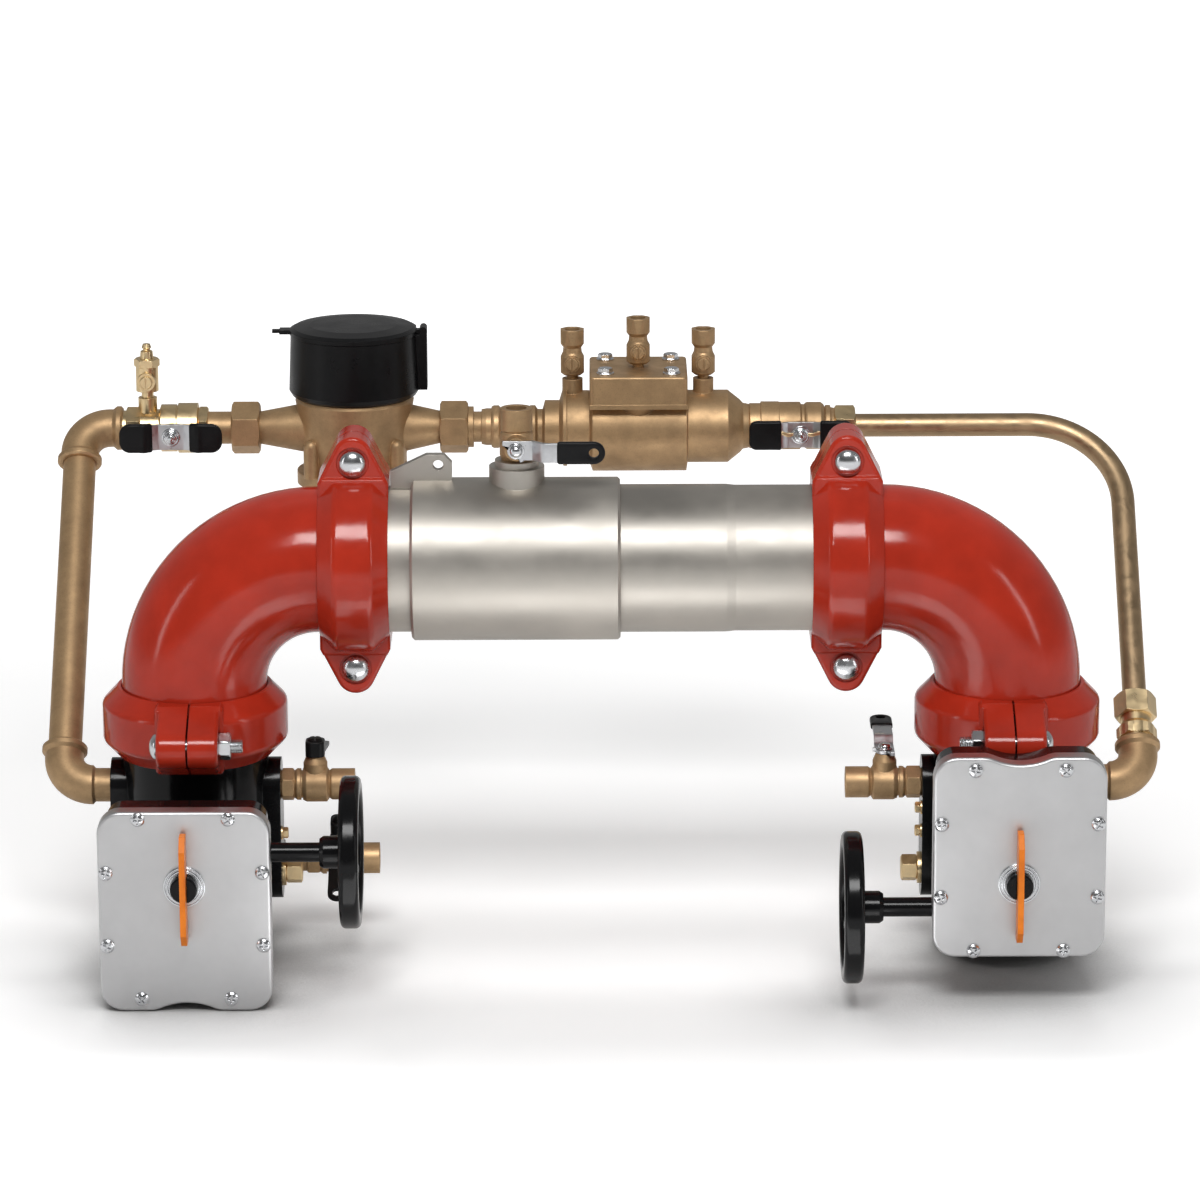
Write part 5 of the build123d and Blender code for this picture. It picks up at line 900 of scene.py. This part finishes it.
class BACKFLOW_OT_stage(bpy.types.Operator):
    """Makes the camera, the lamps, the world and the pale floor"""

    bl_idname = "backflow.stage"
    bl_label = "Camera, lamps and floor"

    def execute(self, context):
        sizes = context.scene.backflow_stage
        context.scene.camera = self.camera(sizes)
        self.lamps(sizes)
        pale_floor(sizes.floor_z)
        studio_world()
        context.scene.view_settings.view_transform = "Standard"
        return {"FINISHED"}

    def camera(self, sizes):
        """Camera back from its target by the distance, pitched down and rolled a little."""
        data = bpy.data.cameras.new("camera")
        data.lens = sizes.lens
        data.sensor_width = SENSOR_WIDTH
        data.clip_start = 0.1
        data.clip_end = 60.0
        camera = bpy.data.objects.new("camera", data)
        bpy.context.collection.objects.link(camera)
        back = Vector((0, -math.cos(sizes.pitch), math.sin(sizes.pitch)))
        camera.location = CAMERA_TARGET + sizes.distance * back
        turn = (CAMERA_TARGET - camera.location).to_track_quat("-Z", "Y").to_matrix()
        camera.rotation_euler = (turn @ Matrix.Rotation(CAMERA_ROLL, 3, "Z")).to_euler()
        return camera

    def lamps(self, sizes):
        """Key over the camera, a slim lamp on each side, a strip behind and a card on the floor."""
        soft_lamp("key_box", (0.25, -2.75, 3.35), LAMP_TARGET, 1.8, 1.15, sizes.key_power)
        soft_lamp("left_box", (-2.6, -1.2, 0.9), LAMP_TARGET, 0.25, 1.6, sizes.left_power)
        soft_lamp("right_box", (3.0, -1.5, 1.1), LAMP_TARGET, 0.25, 1.6, sizes.right_power)
        rear = soft_lamp("rear_box", (0.1, 1.7, 3.2), LAMP_TARGET, 2.4, 0.6, sizes.rear_power)
        rear.visible_glossy = False
        spot = (0.32, -0.34)
        card = soft_lamp("low_card", (*spot, sizes.floor_z + 0.004), (*spot, 1.0), 0.46, 0.22,
                         sizes.card_power)
        card.visible_diffuse = False
        card.visible_camera = False


class BACKFLOW_PT_panel(bpy.types.Panel):
    """Lists the assembly's pieces"""

    bl_idname = "BACKFLOW_PT_panel"
    bl_label = "Backflow detector assembly"
    bl_space_type = "VIEW_3D"
    bl_region_type = "UI"
    bl_category = "Backflow"

    def draw(self, context):
        for operator in OPERATORS:
            self.layout.operator(operator.bl_idname)
        scene = context.scene
        for group in (scene.backflow_colours, scene.backflow_fittings, scene.backflow_stage):
            box = self.layout.box()
            for name in group.__annotations__:
                box.prop(group, name)


OPERATORS = (BACKFLOW_OT_finishes, BACKFLOW_OT_coupling_bolts, BACKFLOW_OT_drilled_levers,
             BACKFLOW_OT_tee_handles, BACKFLOW_OT_stem_rings, BACKFLOW_OT_register_dial,
             BACKFLOW_OT_stage)
CLASSES = (FinishColours, FittingSizes, StageSizes, BACKFLOW_PT_panel) + OPERATORS


def register():
    for made in CLASSES:
        bpy.utils.register_class(made)
    bpy.types.Scene.backflow_colours = bpy.props.PointerProperty(type=FinishColours)
    bpy.types.Scene.backflow_fittings = bpy.props.PointerProperty(type=FittingSizes)
    bpy.types.Scene.backflow_stage = bpy.props.PointerProperty(type=StageSizes)


def unregister():
    del bpy.types.Scene.backflow_stage
    del bpy.types.Scene.backflow_fittings
    del bpy.types.Scene.backflow_colours
    for made in reversed(CLASSES):
        bpy.utils.unregister_class(made)


def main():
    """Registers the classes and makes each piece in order."""
    register()
    bpy.ops.backflow.finishes()
    bpy.ops.backflow.coupling_bolts()
    bpy.ops.backflow.drilled_levers()
    bpy.ops.backflow.tee_handles()
    bpy.ops.backflow.stem_rings()
    bpy.ops.backflow.register_dial()
    bpy.ops.backflow.stage()
    bpy.context.view_layer.update()


if __name__ == "__main__":
    main()
